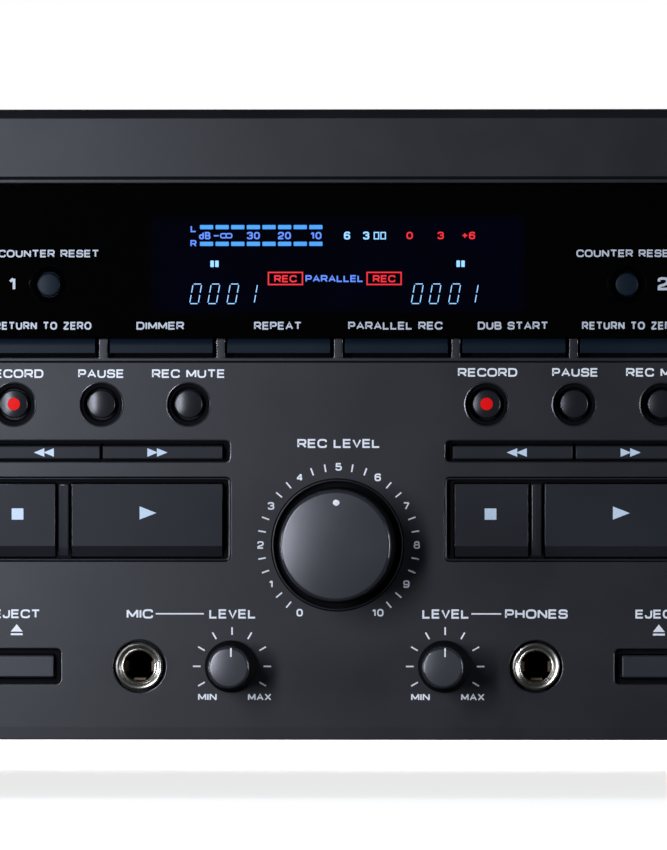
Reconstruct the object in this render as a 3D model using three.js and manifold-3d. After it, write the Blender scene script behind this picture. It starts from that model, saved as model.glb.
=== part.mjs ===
// A twin cassette deck, 435 mm wide: steel case on four feet, moulded front panel, smoked display lens,
// two cassette wells with tilting doors, twenty-five push buttons, three rotary controls and two sockets.
// Millimetres, +Z up, the front faces -Y, and the origin is on the floor at the middle of the case.
import * as THREE from "three";
import { mergeVertices } from "three/addons/utils/BufferGeometryUtils.js";
import Module from "manifold-3d";

const wasm = await Module();
wasm.setup();

// ---------------------------------------------------------------- driving dimensions

const WIDTH = 435; // across the front panel
const DEPTH = 286; // from the record level knob to the rear sockets
const PANEL_HEIGHT = 132;
const FOOT_HEIGHT = 13;
const KNOB_PROUD = 15; // how far the record level knob stands out of the panel
const SOCKET_PROUD = 9; // how far the rear sockets stand out of the rear panel
const GAP = 0.3; // between parts that touch
const TRAVEL = 1.2; // of a key on the control board
const SHEET = 1.2; // thickness of the folded steel

const PANEL_SKIN = 3.5; // thickness of the front panel's face
const PANEL_DEPTH = 12; // of the rim behind it
const PANEL_WALL = 2.5;
const REAR_Y = DEPTH - KNOB_PROUD - SOCKET_PROUD; // outside of the rear panel, behind the panel's face

// Inside this file a piece is placed from the front panel: x from the middle, y back from the panel's
// face, z up from the panel's lower edge. The exported group moves all of it onto its feet.
const FACE_FROM_MIDDLE = KNOB_PROUD - DEPTH / 2;

// Rows of controls, as heights above the panel's lower edge
const LOW_ROW_Z = 15.4; // sockets, small knobs, eject and power
const REC_KNOB_Z = 40.8;
const TRANSPORT_Z = 45.95;
const WIND_ROW_Z = 60.4;
const ROUND_ROW_Z = 70.3;
const STRIP_Z = 82.5;
const COUNTER_Z = 95.3;

// Columns, as distances from the middle
const CLUSTER_X = 49.5; // middle of each deck's keys
const ROUND_PITCH = 18.3;
const STRIP_PITCH = 24.6;
const COUNTER_X = 60.5;
const EJECT_X = 67.2;
const JACK_X = 41.5;
const SMALL_KNOB_X = 22.3;
const POWER_X = -197;

const ROUND_BUTTON_R = 3;
const COUNTER_BUTTON_R = 2.45;
const STRIP_BUTTON = { width: 21.5, height: 3 };
const WIND_BUTTON = { width: 25.1, height: 2.6 };
const STOP_BUTTON = { x: -17.3, width: 15.3, height: 15.3 };
const PLAY_BUTTON = { x: 9.65, width: 31.5, height: 15.3 };
const EJECT_BUTTON = { width: 15.5, height: 4.7 };
const POWER_BUTTON = { width: 15.5, height: 8 };

const LENS = { half: 80.5, low: 84.3, high: 116.2, thick: 3 };
const DOOR = { x: 146.5, half: 62.2, low: 31.5, high: 114.7, thick: 3.2, barrel: 4.5 };
const WELL_GAP = 0.4; // round a door
const CASSETTE = { half: 50.2, low: 38, high: 101.8, front: 4.9 };
const HUB_SPACING = 42.5; // of a compact cassette
const HUB_Z = CASSETTE.low + 34;
const CAPSTAN = { x: 25.6, z: CASSETTE.low + 8.5, r: 1.2 };
const HEAD_TRAVEL = 5.4;
const PINCH_R = 5.5;
const MECHANISM_Y = 20; // front of the mechanism's plate
const BOARD_Y = 13; // front of the control board
const BOARD_THICK = 1.6;
const JACK_BORE_R = 3.2;

// ---------------------------------------------------------------- shapes and booleans

// A closed geometry as a manifold solid.
function solid(geometry) {
  const bare = geometry.clone();
  bare.deleteAttribute("normal");
  bare.deleteAttribute("uv");
  const merged = mergeVertices(bare, 1e-4);
  return new wasm.Manifold(
    new wasm.Mesh({
      numProp: 3,
      vertProperties: merged.attributes.position.array,
      triVerts: new Uint32Array(merged.index.array),
    }),
  );
}

function join(...solids) {
  return solids.reduce((all, next) => all.add(next));
}

function cut(body, ...tools) {
  return tools.reduce((left, tool) => left.subtract(tool), body);
}

function block(x0, x1, y0, y1, z0, z1) {
  const geometry = new THREE.BoxGeometry(x1 - x0, y1 - y0, z1 - z0);
  return solid(geometry.translate((x0 + x1) / 2, (y0 + y1) / 2, (z0 + z1) / 2));
}

// A round bar from y0 to y1, with its axis along Y.
function rod(r, y0, y1, x = 0, z = 0, segments = 14) {
  const geometry = new THREE.CylinderGeometry(r, r, y1 - y0, segments);
  return solid(geometry.translate(x, (y0 + y1) / 2, z));
}

// A round bar standing on z0, with its axis along Z.
function post(r, z0, z1, x, y, segments = 8) {
  const geometry = new THREE.CylinderGeometry(r, r, z1 - z0, segments).rotateX(Math.PI / 2);
  return solid(geometry.translate(x, y, (z0 + z1) / 2));
}

// A round bar from x0 to x1, with its axis along X.
function pin(r, x0, x1, y, z, segments = 8) {
  const geometry = new THREE.CylinderGeometry(r, r, x1 - x0, segments).rotateZ(-Math.PI / 2);
  return solid(geometry.translate((x0 + x1) / 2, y, z));
}

// A profile of [radius, y] points turned about Y. On its outside wall the profile runs towards +Y.
function turned(profile, segments = 12) {
  const points = profile.map(([r, y]) => new THREE.Vector2(r, y));
  return solid(new THREE.LatheGeometry(points, segments));
}

function roundedShape(width, height, r) {
  const [w, h] = [width / 2, height / 2];
  const shape = new THREE.Shape();
  shape.moveTo(-w + r, -h);
  shape.lineTo(w - r, -h);
  shape.absarc(w - r, -h + r, r, -Math.PI / 2, 0);
  shape.lineTo(w, h - r);
  shape.absarc(w - r, h - r, r, 0, Math.PI / 2);
  shape.lineTo(-w + r, h);
  shape.absarc(-w + r, h - r, r, Math.PI / 2, Math.PI);
  shape.lineTo(-w, -h + r);
  shape.absarc(-w + r, -h + r, r, Math.PI, 1.5 * Math.PI);
  return shape;
}

// A plate with round corners, facing -Y, from y0 to y1.
function plate(width, height, r, y0, y1, x = 0, z = 0) {
  const options = { depth: y1 - y0, bevelEnabled: false, curveSegments: 2 };
  const geometry = new THREE.ExtrudeGeometry(roundedShape(width, height, r), options);
  return solid(geometry.rotateX(Math.PI / 2).translate(x, y1, z));
}

// An outline of [y, z] points drawn anticlockwise as seen from +X, run along X from x0 to x1.
function extrusion(outline, x0, x1) {
  const shape = new THREE.Shape(outline.map(([y, z]) => new THREE.Vector2(y, z)));
  const geometry = new THREE.ExtrudeGeometry(shape, { depth: x1 - x0, bevelEnabled: false });
  const turn = new THREE.Matrix4().makeBasis(
    new THREE.Vector3(0, 1, 0),
    new THREE.Vector3(0, 0, 1),
    new THREE.Vector3(1, 0, 0),
  );
  return solid(geometry.applyMatrix4(turn).translate(x0, 0, 0));
}

function geometryOf(body) {
  const mesh = body.getMesh();
  const geometry = new THREE.BufferGeometry();
  geometry.setAttribute("position", new THREE.BufferAttribute(mesh.vertProperties, 3));
  geometry.setIndex(new THREE.BufferAttribute(mesh.triVerts, 1));
  geometry.computeVertexNormals();
  return geometry;
}

// ---------------------------------------------------------------- materials

function material(colour, roughness, metalness = 0) {
  return new THREE.MeshStandardMaterial({ color: colour, roughness, metalness });
}

const panelPaint = material(0x3a3c42, 0.55);
const keyPlastic = material(0x33353b, 0.5);
const glossBlack = material(0x050506, 0.1);
const knobPlastic = material(0x2c2d31, 0.4);
const casePaint = material(0x1b1c1f, 0.6, 0.3);
const zincSteel = material(0xa9acad, 0.4, 0.9);
const nickel = material(0xc9c6bd, 0.2, 1);
const rubber = material(0x101010, 0.9);
const circuitBoard = material(0x2d4a2c, 0.6);
const blackPlastic = material(0x151517, 0.5);
const smokedPlastic = material(0x0b0b0d, 0.1);
const copperAndIron = material(0x6b4a2e, 0.5, 0.4);
const brass = material(0xb5965a, 0.3, 1);

// ---------------------------------------------------------------- front panel and lens

const SIDES = [
  { number: 1, sign: -1 },
  { number: 2, sign: 1 },
];
const LENS_HOLE_R = COUNTER_BUTTON_R + GAP;
const WELL = {
  half: DOOR.half + WELL_GAP,
  low: DOOR.low - DOOR.barrel - WELL_GAP,
  high: DOOR.high + WELL_GAP,
};
const HINGE = { y: DOOR.barrel, z: DOOR.low, r: 1.5, length: 3 };
const ROUND_DISH = { r: 4.55, depth: 2 };
const JACK_HOLE_R = 5.4;
const REC_DISH = { r: 14.1, depth: 1.5 };
const SHAFT_R = 3;
const THROUGH = 1; // how far a cutting tool runs past a face

// A shallow recess with a snug opening in its floor for each key [x, width, height].
function keyRecess(x, z, width, height, corner, depth, keys) {
  const tools = keys.map(([keyX, keyWidth, keyHeight]) =>
    plate(keyWidth + 2 * GAP, keyHeight + 2 * GAP, 0.6, -THROUGH, PANEL_SKIN + THROUGH, keyX, z),
  );
  return [plate(width, height, corner, -THROUGH, depth, x, z), ...tools];
}

function frontPanel() {
  const [topBevel, bottomBevel] = [
    { height: 1.9, depth: 1.6 },
    { height: 2.6, depth: 0.9 },
  ];
  const outline = [
    [bottomBevel.depth, 0],
    [PANEL_DEPTH, 0],
    [PANEL_DEPTH, PANEL_HEIGHT],
    [topBevel.depth, PANEL_HEIGHT],
    [0, PANEL_HEIGHT - topBevel.height],
    [0, bottomBevel.height],
  ];
  const [half, inner] = [WIDTH / 2, WIDTH / 2 - PANEL_WALL];
  let body = cut(
    extrusion(outline, -half, half),
    block(-inner, inner, PANEL_SKIN, 2 * PANEL_DEPTH, PANEL_WALL, PANEL_HEIGHT - PANEL_WALL),
  );

  const tools = [];
  // a fine groove under the top band, and one along the top of the control field
  const groove = { height: 0.55, depth: 0.5 };
  tools.push(block(-half - 1, half + 1, -THROUGH, groove.depth, 117.2, 117.2 + groove.height));
  tools.push(block(-LENS.half, LENS.half, -THROUGH, groove.depth, 78.9, 78.9 + groove.height));
  // the lens's opening, and under it a slot for each key of the strip
  tools.push(
    block(
      -LENS.half - GAP,
      LENS.half + GAP,
      -THROUGH,
      PANEL_SKIN + THROUGH,
      LENS.low - GAP,
      LENS.high + GAP,
    ),
  );
  for (let i = 0; i < 6; i++) {
    const x = (i - 2.5) * STRIP_PITCH;
    const half = STRIP_BUTTON.width / 2 + 2 * GAP;
    const low = STRIP_Z - STRIP_BUTTON.height / 2 - 1.1;
    tools.push(block(x - half, x + half, -THROUGH, PANEL_SKIN + THROUGH, low, LENS.low));
  }
  for (const { sign } of SIDES) {
    const cluster = sign * CLUSTER_X;
    for (const step of [-1, 0, 1]) {
      const dish = turned([
        [0, -THROUGH],
        [ROUND_DISH.r, -THROUGH],
        [ROUND_DISH.r, 0.4],
        [ROUND_BUTTON_R + 0.6, ROUND_DISH.depth],
        [ROUND_BUTTON_R + GAP, ROUND_DISH.depth],
        [ROUND_BUTTON_R + GAP, PANEL_SKIN + THROUGH],
        [0, PANEL_SKIN + THROUGH],
      ]);
      tools.push(dish.translate([cluster + step * ROUND_PITCH, 0, ROUND_ROW_Z]));
    }
    const windPair = [-1, 1].map((way) => [
      cluster + (way * (WIND_BUTTON.width + 2 * GAP)) / 2,
      WIND_BUTTON.width,
      WIND_BUTTON.height,
    ]);
    tools.push(...keyRecess(cluster, WIND_ROW_Z, 54, 4.2, 1, 2, windPair));
    const transport = [STOP_BUTTON, PLAY_BUTTON].map((key) => [
      cluster + key.x,
      key.width,
      key.height,
    ]);
    tools.push(...keyRecess(cluster, TRANSPORT_Z, 54, 16.7, 1.4, 1.4, transport));
    const eject = [[sign * EJECT_X, EJECT_BUTTON.width, EJECT_BUTTON.height]];
    tools.push(...keyRecess(sign * EJECT_X, LOW_ROW_Z, 18.5, 7.1, 1, 1.6, eject));
    tools.push(rod(JACK_HOLE_R, -THROUGH, PANEL_SKIN + THROUGH, sign * JACK_X, LOW_ROW_Z));
    tools.push(rod(SHAFT_R + 0.6, -THROUGH, PANEL_SKIN + THROUGH, sign * SMALL_KNOB_X, LOW_ROW_Z));
    const x = sign * DOOR.x;
    tools.push(
      block(x - WELL.half, x + WELL.half, -THROUGH, PANEL_SKIN + THROUGH, WELL.low, WELL.high),
    );
  }
  const power = [[POWER_X, POWER_BUTTON.width, POWER_BUTTON.height]];
  tools.push(...keyRecess(POWER_X, LOW_ROW_Z, 18.5, 11, 1.4, 1.4, power));
  tools.push(rod(REC_DISH.r, -THROUGH, REC_DISH.depth, 0, REC_KNOB_Z, 28));
  tools.push(rod(SHAFT_R + 0.6, -THROUGH, PANEL_SKIN + THROUGH, 0, REC_KNOB_Z));
  body = cut(body, ...tools);

  // an ear behind the panel at each end of a door, bored for the door's pins
  for (const { sign } of SIDES) {
    for (const end of [-1, 1]) {
      const near = sign * DOOR.x + end * WELL.half;
      const far = near + end * (HINGE.length + 1);
      const ear = block(
        Math.min(near, far),
        Math.max(near, far),
        PANEL_SKIN - 0.5,
        HINGE.y + 3.5,
        HINGE.z - 4,
        HINGE.z + 4,
      );
      body = join(body, ear);
    }
    const x = sign * DOOR.x;
    const reach = DOOR.half + HINGE.length + GAP;
    body = cut(body, pin(HINGE.r + GAP, x - reach, x + reach, HINGE.y, HINGE.z));
  }
  return body;
}

// The smoked lens across the middle of the panel, with a dished hole for each counter reset button.
function displayLens() {
  const { half, low, high, thick } = LENS;
  const dish = turned([
    [0, -THROUGH],
    [4.25, -THROUGH],
    [4.25, 0.2],
    [LENS_HOLE_R, 1.4],
    [LENS_HOLE_R, thick + THROUGH],
    [0, thick + THROUGH],
  ]);
  const dishes = SIDES.map(({ sign }) => dish.translate([sign * COUNTER_X, 0, COUNTER_Z]));
  return cut(block(-half, half, 0, thick, low, high), ...dishes);
}

// ---------------------------------------------------------------- keys and knobs

const FLANGE_Y = PANEL_SKIN + GAP; // a key's flange stops against the back of the panel
const FLANGE_THICK = 1.2;
const STEM_END_Y = BOARD_Y - 2 - TRAVEL - GAP; // just clear of its switch when it is pressed

// The flange and stem behind a key. The flange is wider than the opening only above and below.
function keyBack(width, height) {
  return join(
    block(
      -width / 2,
      width / 2,
      FLANGE_Y - 0.01,
      FLANGE_Y + FLANGE_THICK,
      -height / 2 - 1,
      height / 2 + 1,
    ),
    block(-1.5, 1.5, FLANGE_Y, STEM_END_Y, -1.2, 1.2),
  );
}

function flatKey({ width, height }, proud, corner = 0.5) {
  return join(plate(width, height, corner, -proud, FLANGE_Y, 0, 0), keyBack(width, height));
}

// A strip key: its front is rounded off above and below.
function stripKey({ width, height }, proud) {
  const h = height / 2;
  const outline = [
    [FLANGE_Y, -h],
    [FLANGE_Y, h],
    [0.5, h],
    [-proud * 0.6, h * 0.6],
    [-proud, h * 0.2],
    [-proud, -h * 0.2],
    [-proud * 0.6, -h * 0.6],
    [0.5, -h],
  ];
  return join(extrusion(outline, -width / 2, width / 2), keyBack(width, height));
}

// A stop or play key: a flat face with a wide chamfer along its lower edge.
function transportKey({ width, height }, proud) {
  const [h, chamfer] = [height / 2, 2.3];
  const outline = [
    [FLANGE_Y, -h],
    [FLANGE_Y, h],
    [0.2 - proud, h],
    [-proud, h - 0.4],
    [-proud, -h + chamfer],
    [1.3, -h],
  ];
  return join(extrusion(outline, -width / 2, width / 2), keyBack(width, height));
}

function roundKey(r, proud, flangeY) {
  return turned(
    [
      [0, -proud],
      [r * 0.8, -proud + 0.4],
      [r, -proud + 1.1],
      [r, flangeY],
      [r + 1, flangeY],
      [r + 1, flangeY + 1],
      [1.2, flangeY + 1],
      [1.2, STEM_END_Y],
      [0, STEM_END_Y],
    ],
    10,
  );
}

function recordKnob() {
  return turned(
    [
      [0, -KNOB_PROUD],
      [10.9, -KNOB_PROUD],
      [11.5, 0.7 - KNOB_PROUD],
      [12.7, -1.5],
      [13.2, 1],
      [SHAFT_R, 1],
      [SHAFT_R, 11],
      [0, 11],
    ],
    28,
  );
}

function smallKnob() {
  return turned(
    [
      [0, -13],
      [3.9, -13],
      [4.5, -12.3],
      [5.1, -1.6],
      [5.6, -0.5],
      [SHAFT_R, -0.5],
      [SHAFT_R, 11],
      [0, 11],
    ],
    16,
  );
}

// ---------------------------------------------------------------- sockets

// A quarter-inch jack socket: a plated bush through the panel and a moulded body behind it.
function jackSocket() {
  const [outer, front, bodyEnd] = [4.85, -1.2, 31];
  const bush = turned(
    [
      [JACK_BORE_R, front + 0.5],
      [JACK_BORE_R + 0.7, front],
      [outer - 0.5, front],
      [outer, front + 0.5],
      [outer, 8],
      [JACK_BORE_R, 8],
      [JACK_BORE_R, front + 0.5],
    ],
    14,
  );
  const body = cut(
    block(-6.5, 6.5, PANEL_SKIN + GAP, bodyEnd, -8, 8),
    rod(JACK_BORE_R, 0, bodyEnd - 2),
  );
  return join(bush, body);
}

// A figure-of-eight mains inlet, opening towards +Y.
const INLET = { x: -165, z: 40, width: 15, height: 8.6, depth: 14, pinSpacing: 8.6 };

function mainsInlet() {
  const { width, height, depth, pinSpacing } = INLET;
  const [front, back] = [REAR_Y + 3, REAR_Y - depth];
  const flange = plate(34, 17, 2, REAR_Y + GAP, front);
  const body = plate(24, 14, 2, back, REAR_Y + GAP + 0.1);
  const pocket = plate(width, height, height / 2 - 0.1, back + 2, front + THROUGH);
  const pins = [-1, 1].map((side) =>
    rod(1.2, back + 1, REAR_Y - 1, (side * pinSpacing) / 2, 0, 12),
  );
  return join(cut(join(flange, body), pocket), ...pins);
}

// Eight line sockets in two rows on one moulded block, standing out through the rear panel.
const LINE = { x: 60, z: 48, columns: 4, pitchX: 22, pitchZ: 20, r: 4.15 };

function lineSpots() {
  const spots = [];
  for (let column = 0; column < LINE.columns; column++) {
    for (const row of [-0.5, 0.5]) {
      spots.push([(column - (LINE.columns - 1) / 2) * LINE.pitchX, row * LINE.pitchZ]);
    }
  }
  return spots;
}

function lineSockets() {
  const body = block(-46, 46, REAR_Y - 20, REAR_Y - SHEET - GAP, -20, 20);
  const sleeve = cut(
    rod(LINE.r, REAR_Y - 3, REAR_Y + SOCKET_PROUD, 0, 0, 10),
    rod(1.7, REAR_Y - 2, REAR_Y + SOCKET_PROUD + THROUGH, 0, 0, 6),
  );
  return join(body, ...lineSpots().map(([x, z]) => sleeve.translate([x, 0, z])));
}

// ---------------------------------------------------------------- case

const CASE_FRONT_Y = PANEL_DEPTH + GAP;
const PAN = { half: 214, low: 0.8, wall: 28 };
const COVER = { half: 216.4, high: PANEL_HEIGHT - 0.4 };
const FOOT = { x: 178, front: 33, rear: 233, r: 20 };

function bottomChassis() {
  const { half, low, wall } = PAN;
  const [front, back] = [CASE_FRONT_Y, REAR_Y - SHEET - GAP];
  const floor = block(-half, half, front, back, low, low + SHEET);
  const sides = [-1, 1].map((side) => {
    const outer = side * half;
    const inner = side * (half - SHEET);
    return block(Math.min(outer, inner), Math.max(outer, inner), front, back, low, low + wall);
  });
  const stiffener = [58, 240].map((y) => block(-150, 150, y, y + 6, low + 1, low + 3.5));
  const standoffs = [MAIN_BOARD.x0 + 6, MAIN_BOARD.x1 - 6].flatMap((x) =>
    [MAIN_BOARD.y0 + 6, MAIN_BOARD.y1 - 6].map((y) => post(3, low + 1, MAIN_BOARD.z - GAP, x, y)),
  );
  return join(floor, ...sides, ...stiffener, ...standoffs);
}

// The folded cover: a top with two blocks of vent slots, and a side down each end.
function topCover() {
  const { half, high } = COVER;
  const [front, back, low] = [CASE_FRONT_Y, REAR_Y - SHEET - GAP, 1.2];
  const shell = cut(
    block(-half, half, front, back, low, high),
    block(-half + SHEET, half - SHEET, front - 1, back + 1, low - 1, high - SHEET),
  );
  const slots = [];
  const slot = { start: 150, length: 72, width: 3.5, pitch: 12, count: 8 };
  for (const side of [-1, 1]) {
    for (let i = 0; i < slot.count; i++) {
      const x0 = side * (70 + i * slot.pitch) - slot.width / 2;
      const y0 = slot.start;
      slots.push(block(x0, x0 + slot.width, y0, y0 + slot.length, high - SHEET - 1, high + 1));
    }
  }
  return cut(shell, ...slots);
}

function rearPanel() {
  const body = block(-PAN.half, PAN.half, REAR_Y - SHEET, REAR_Y, 1.2, PANEL_HEIGHT - 2);
  const holes = lineSpots().map(([x, z]) =>
    rod(LINE.r + 0.6, REAR_Y - 5, REAR_Y + 5, LINE.x + x, LINE.z + z, 10),
  );
  const inlet = plate(25, 15, 2, REAR_Y - 5, REAR_Y + 5, INLET.x, INLET.z);
  return cut(body, inlet, ...holes);
}

function foot() {
  const profile = [
    [0, -FOOT_HEIGHT],
    [FOOT.r - 3.5, -FOOT_HEIGHT],
    [FOOT.r - 2.5, 1 - FOOT_HEIGHT],
    [FOOT.r - 2, -4],
    [FOOT.r, -3],
    [FOOT.r, PAN.low - GAP],
    [0, PAN.low - GAP],
  ];
  return solid(
    new THREE.LatheGeometry(
      profile.map(([r, y]) => new THREE.Vector2(r, y)),
      16,
    ).rotateX(Math.PI / 2),
  );
}

// ---------------------------------------------------------------- boards and transformer

// The control board: display tube, key switches and the three potentiometers on one printed board.
function controlBoard() {
  const [front, back] = [BOARD_Y, BOARD_Y + BOARD_THICK];
  const parts = [];
  parts.push(block(-41, 41, 6, front + 0.1, 87.4, 111.4)); // display tube
  const keySwitch = (x, z) => block(x - 3, x + 3, front - 2, front + 0.1, z - 2, z + 2);
  for (let i = 0; i < 6; i++) {
    parts.push(keySwitch((i - 2.5) * STRIP_PITCH, STRIP_Z - 0.1));
  }
  for (const { sign } of SIDES) {
    const cluster = sign * CLUSTER_X;
    parts.push(keySwitch(sign * COUNTER_X, COUNTER_Z));
    for (const step of [-1, 0, 1]) {
      parts.push(keySwitch(cluster + step * ROUND_PITCH, ROUND_ROW_Z));
    }
    for (const way of [-1, 1]) {
      parts.push(keySwitch(cluster + (way * (WIND_BUTTON.width + 2 * GAP)) / 2, WIND_ROW_Z));
    }
    parts.push(keySwitch(cluster + STOP_BUTTON.x, TRANSPORT_Z));
    parts.push(keySwitch(cluster + PLAY_BUTTON.x, TRANSPORT_Z));
    parts.push(rod(7.5, 6, front + 0.1, sign * SMALL_KNOB_X, LOW_ROW_Z));
  }
  parts.push(rod(9.5, 5, front + 0.1, 0, REC_KNOB_Z));
  const board = join(block(-78, 78, front, back, 5, 116), ...parts);
  const bores = [
    [0, REC_KNOB_Z],
    [-SMALL_KNOB_X, LOW_ROW_Z],
    [SMALL_KNOB_X, LOW_ROW_Z],
  ].map(([x, z]) => rod(SHAFT_R + GAP, 4, back - 0.8, x, z));
  const jackClearance = SIDES.map(({ sign }) =>
    block(sign * JACK_X - 7.5, sign * JACK_X + 7.5, front - 1, back + 1, 0, 25),
  );
  const ejectClearance = SIDES.map(({ sign }) =>
    block(sign * EJECT_X - 11, sign * EJECT_X + 11, front - 1, back + 1, 0, 25),
  );
  return cut(board, ...bores, ...jackClearance, ...ejectClearance);
}

const MAIN_BOARD = { x0: -85, x1: 130, y0: 78, y1: 236, z: 10 };

// The main board with its heat sink and smoothing capacitors.
function mainBoard() {
  const { x0, x1, y0, y1, z } = MAIN_BOARD;
  const top = z + BOARD_THICK;
  const parts = [block(x0, x1, y0, y1, z, top)];
  parts.push(block(-70, -10, 205, 208, top - 0.1, top + 38));
  for (let i = 0; i < 6; i++) {
    const x = -68 + i * 10.8;
    parts.push(block(x, x + 2, 207.9, 218, top - 0.1, top + 38));
  }
  for (const [x, y] of [
    [-60, 180],
    [-35, 180],
    [-60, 152],
    [-35, 152],
  ]) {
    parts.push(post(8, top - 0.1, top + 26, x, y));
  }
  return join(...parts);
}

// The mains transformer: a laminated core with the winding standing out at front and back.
function transformer() {
  const [low, high] = [PAN.low + SHEET + GAP, PAN.low + SHEET + GAP + 50];
  return join(
    block(-34, 34, -14, 14, low + 3, high),
    block(-20, 20, -25, 25, low + 10, high - 9),
    block(-42, 42, -16, 16, low, low + 3.1),
  );
}

// ---------------------------------------------------------------- cassette door

// Everything of a deck is drawn round the middle of its door.
const WINDOW = { half: 50.2, low: 47, high: 101, thick: 1.9 };

function cassetteDoor() {
  const { half, low, high, thick, barrel } = DOOR;
  const [ledgeIn, wall, lip] = [38, 3, 14.5];
  const inside = CASSETTE.half + 0.6;
  const leaf = block(-half, half, 0, thick, low, high);
  const parts = [leaf, pin(barrel, -half, half, HINGE.y, HINGE.z, 16)];
  const reach = half + HINGE.length;
  parts.push(pin(HINGE.r, -reach, reach, HINGE.y, HINGE.z));
  for (const side of [-1, 1]) {
    const across = (a, b) => [Math.min(side * a, side * b), Math.max(side * a, side * b)];
    const [w0, w1] = across(inside, inside + wall);
    parts.push(block(w0, w1, thick - 0.1, lip + 1.5, 34, 100));
    const [l0, l1] = across(inside - 4.5, inside + wall);
    parts.push(block(l0, l1, lip, lip + 1.5, 44, 100));
    const [s0, s1] = across(ledgeIn, inside + wall);
    parts.push(block(s0, s1, thick - 0.1, lip + 1.5, 35.4, CASSETTE.low - GAP));
  }
  const middle = (WINDOW.low + WINDOW.high) / 2;
  const [width, height] = [2 * WINDOW.half + 2 * GAP, WINDOW.high - WINDOW.low + 2 * GAP];
  return cut(
    join(...parts),
    plate(width, height, 2, -THROUGH, WINDOW.thick + GAP + 0.2, 0, middle),
    plate(width - 4, height - 4, 1, 0, thick + THROUGH, 0, middle),
  );
}

function doorWindow() {
  const { half, low, high, thick } = WINDOW;
  return plate(2 * half, high - low, 1.7, 0.2, 0.2 + thick, 0, (low + high) / 2);
}

// ---------------------------------------------------------------- tape mechanism

const PLATE_THICK = 1.5;
const FRAME_PLATE = { half: 65.8, legX: 64.2, legR: 1.5 };
const PLATE_BACK_Y = MECHANISM_Y + PLATE_THICK;
const MOTOR = { x: -38, z: 44, r: 17, end: 46 };
const PINCH_Z = CAPSTAN.z - CAPSTAN.r - GAP - PINCH_R - HEAD_TRAVEL;
const PINCH_PIN_R = 1.2;
const BEARING_GAP = 0.3;
const SPINDLE_SHAFT_R = 1.5;

// The mechanism's plate with its four legs to the panel, and the motor's can on its back.
function mechanismFrame() {
  const { half, legX, legR } = FRAME_PLATE;
  const parts = [block(-half, half, MECHANISM_Y, PLATE_BACK_Y, 26, 112)];
  for (const x of [-legX, legX]) {
    for (const z of [42, 108]) {
      parts.push(rod(legR, PANEL_SKIN + GAP, MECHANISM_Y + 0.1, x, z, 8));
    }
  }
  parts.push(rod(MOTOR.r, PLATE_BACK_Y - 0.1, MOTOR.end, MOTOR.x, MOTOR.z, 16));
  const bores = [-1, 1].map((side) =>
    rod(
      SPINDLE_SHAFT_R + BEARING_GAP,
      MECHANISM_Y - 1,
      PLATE_BACK_Y + 1,
      (side * HUB_SPACING) / 2,
      HUB_Z,
      8,
    ),
  );
  const capstanBore = rod(
    CAPSTAN.r + BEARING_GAP,
    MECHANISM_Y - 1,
    PLATE_BACK_Y + 1,
    CAPSTAN.x,
    CAPSTAN.z,
    8,
  );
  return cut(join(...parts), ...bores, capstanBore);
}

// A reel spindle: a tapered tip with three fins, a collar in front of the plate and a gear behind it.
function reelSpindle() {
  const [tip, collarY] = [7.5, MECHANISM_Y - 2.5];
  const body = turned(
    [
      [0, tip],
      [1.5, tip + 0.2],
      [3, tip + 2],
      [3.3, tip + 3],
      [3.3, collarY],
      [6.5, collarY],
      [6.5, MECHANISM_Y - GAP],
      [SPINDLE_SHAFT_R, MECHANISM_Y - GAP],
      [SPINDLE_SHAFT_R, PLATE_BACK_Y + GAP],
      [11.5, PLATE_BACK_Y + GAP],
      [11.5, PLATE_BACK_Y + 2.8],
      [0, PLATE_BACK_Y + 2.8],
    ],
    10,
  );
  const fin = block(0, 4.5, tip + 2.5, collarY + 0.1, -0.6, 0.6);
  const fins = [0, 120, 240].map((angle) => fin.rotate([0, angle, 0]));
  return join(body, ...fins);
}

// The capstan and its flywheel turn as one piece.
function capstanFlywheel() {
  const [front, rimY] = [8, 26];
  return turned(
    [
      [0, front],
      [CAPSTAN.r - 0.2, front],
      [CAPSTAN.r, front + 0.2],
      [CAPSTAN.r, rimY],
      [24, rimY],
      [24, rimY + 6],
      [4, rimY + 6],
      [4, rimY + 8],
      [0, rimY + 8],
    ],
    16,
  );
}

// The sliding head base: a plate, the head in the middle and the pinch roller's pin.
function headBase() {
  const [back, front, high] = [MECHANISM_Y - GAP, MECHANISM_Y - 1.8, 36];
  return join(
    block(-30, 34, front, back, 27.5, high),
    block(-8.5, 8.5, 10, front + 0.1, 30, CASSETTE.low - 0.5),
    rod(PINCH_PIN_R, 9.6, front + 0.1, CAPSTAN.x, PINCH_Z, 12),
  );
}

function pinchRoller() {
  const [y0, y1, bore] = [10, 17.2, PINCH_PIN_R + GAP];
  return turned(
    [
      [bore, y0],
      [PINCH_R - 0.3, y0],
      [PINCH_R, y0 + 0.3],
      [PINCH_R, y1 - 0.3],
      [PINCH_R - 0.3, y1],
      [bore, y1],
      [bore, y0],
    ],
    12,
  );
}

// ---------------------------------------------------------------- the assembly

const deck = new THREE.Group();
deck.position.set(0, FACE_FROM_MIDDLE, FOOT_HEIGHT);

function add(name, body, paint, x = 0, y = 0, z = 0) {
  const mesh = new THREE.Mesh(body instanceof THREE.BufferGeometry ? body : geometryOf(body), paint);
  mesh.name = name;
  mesh.position.set(x, y, z);
  deck.add(mesh);
}

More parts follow.
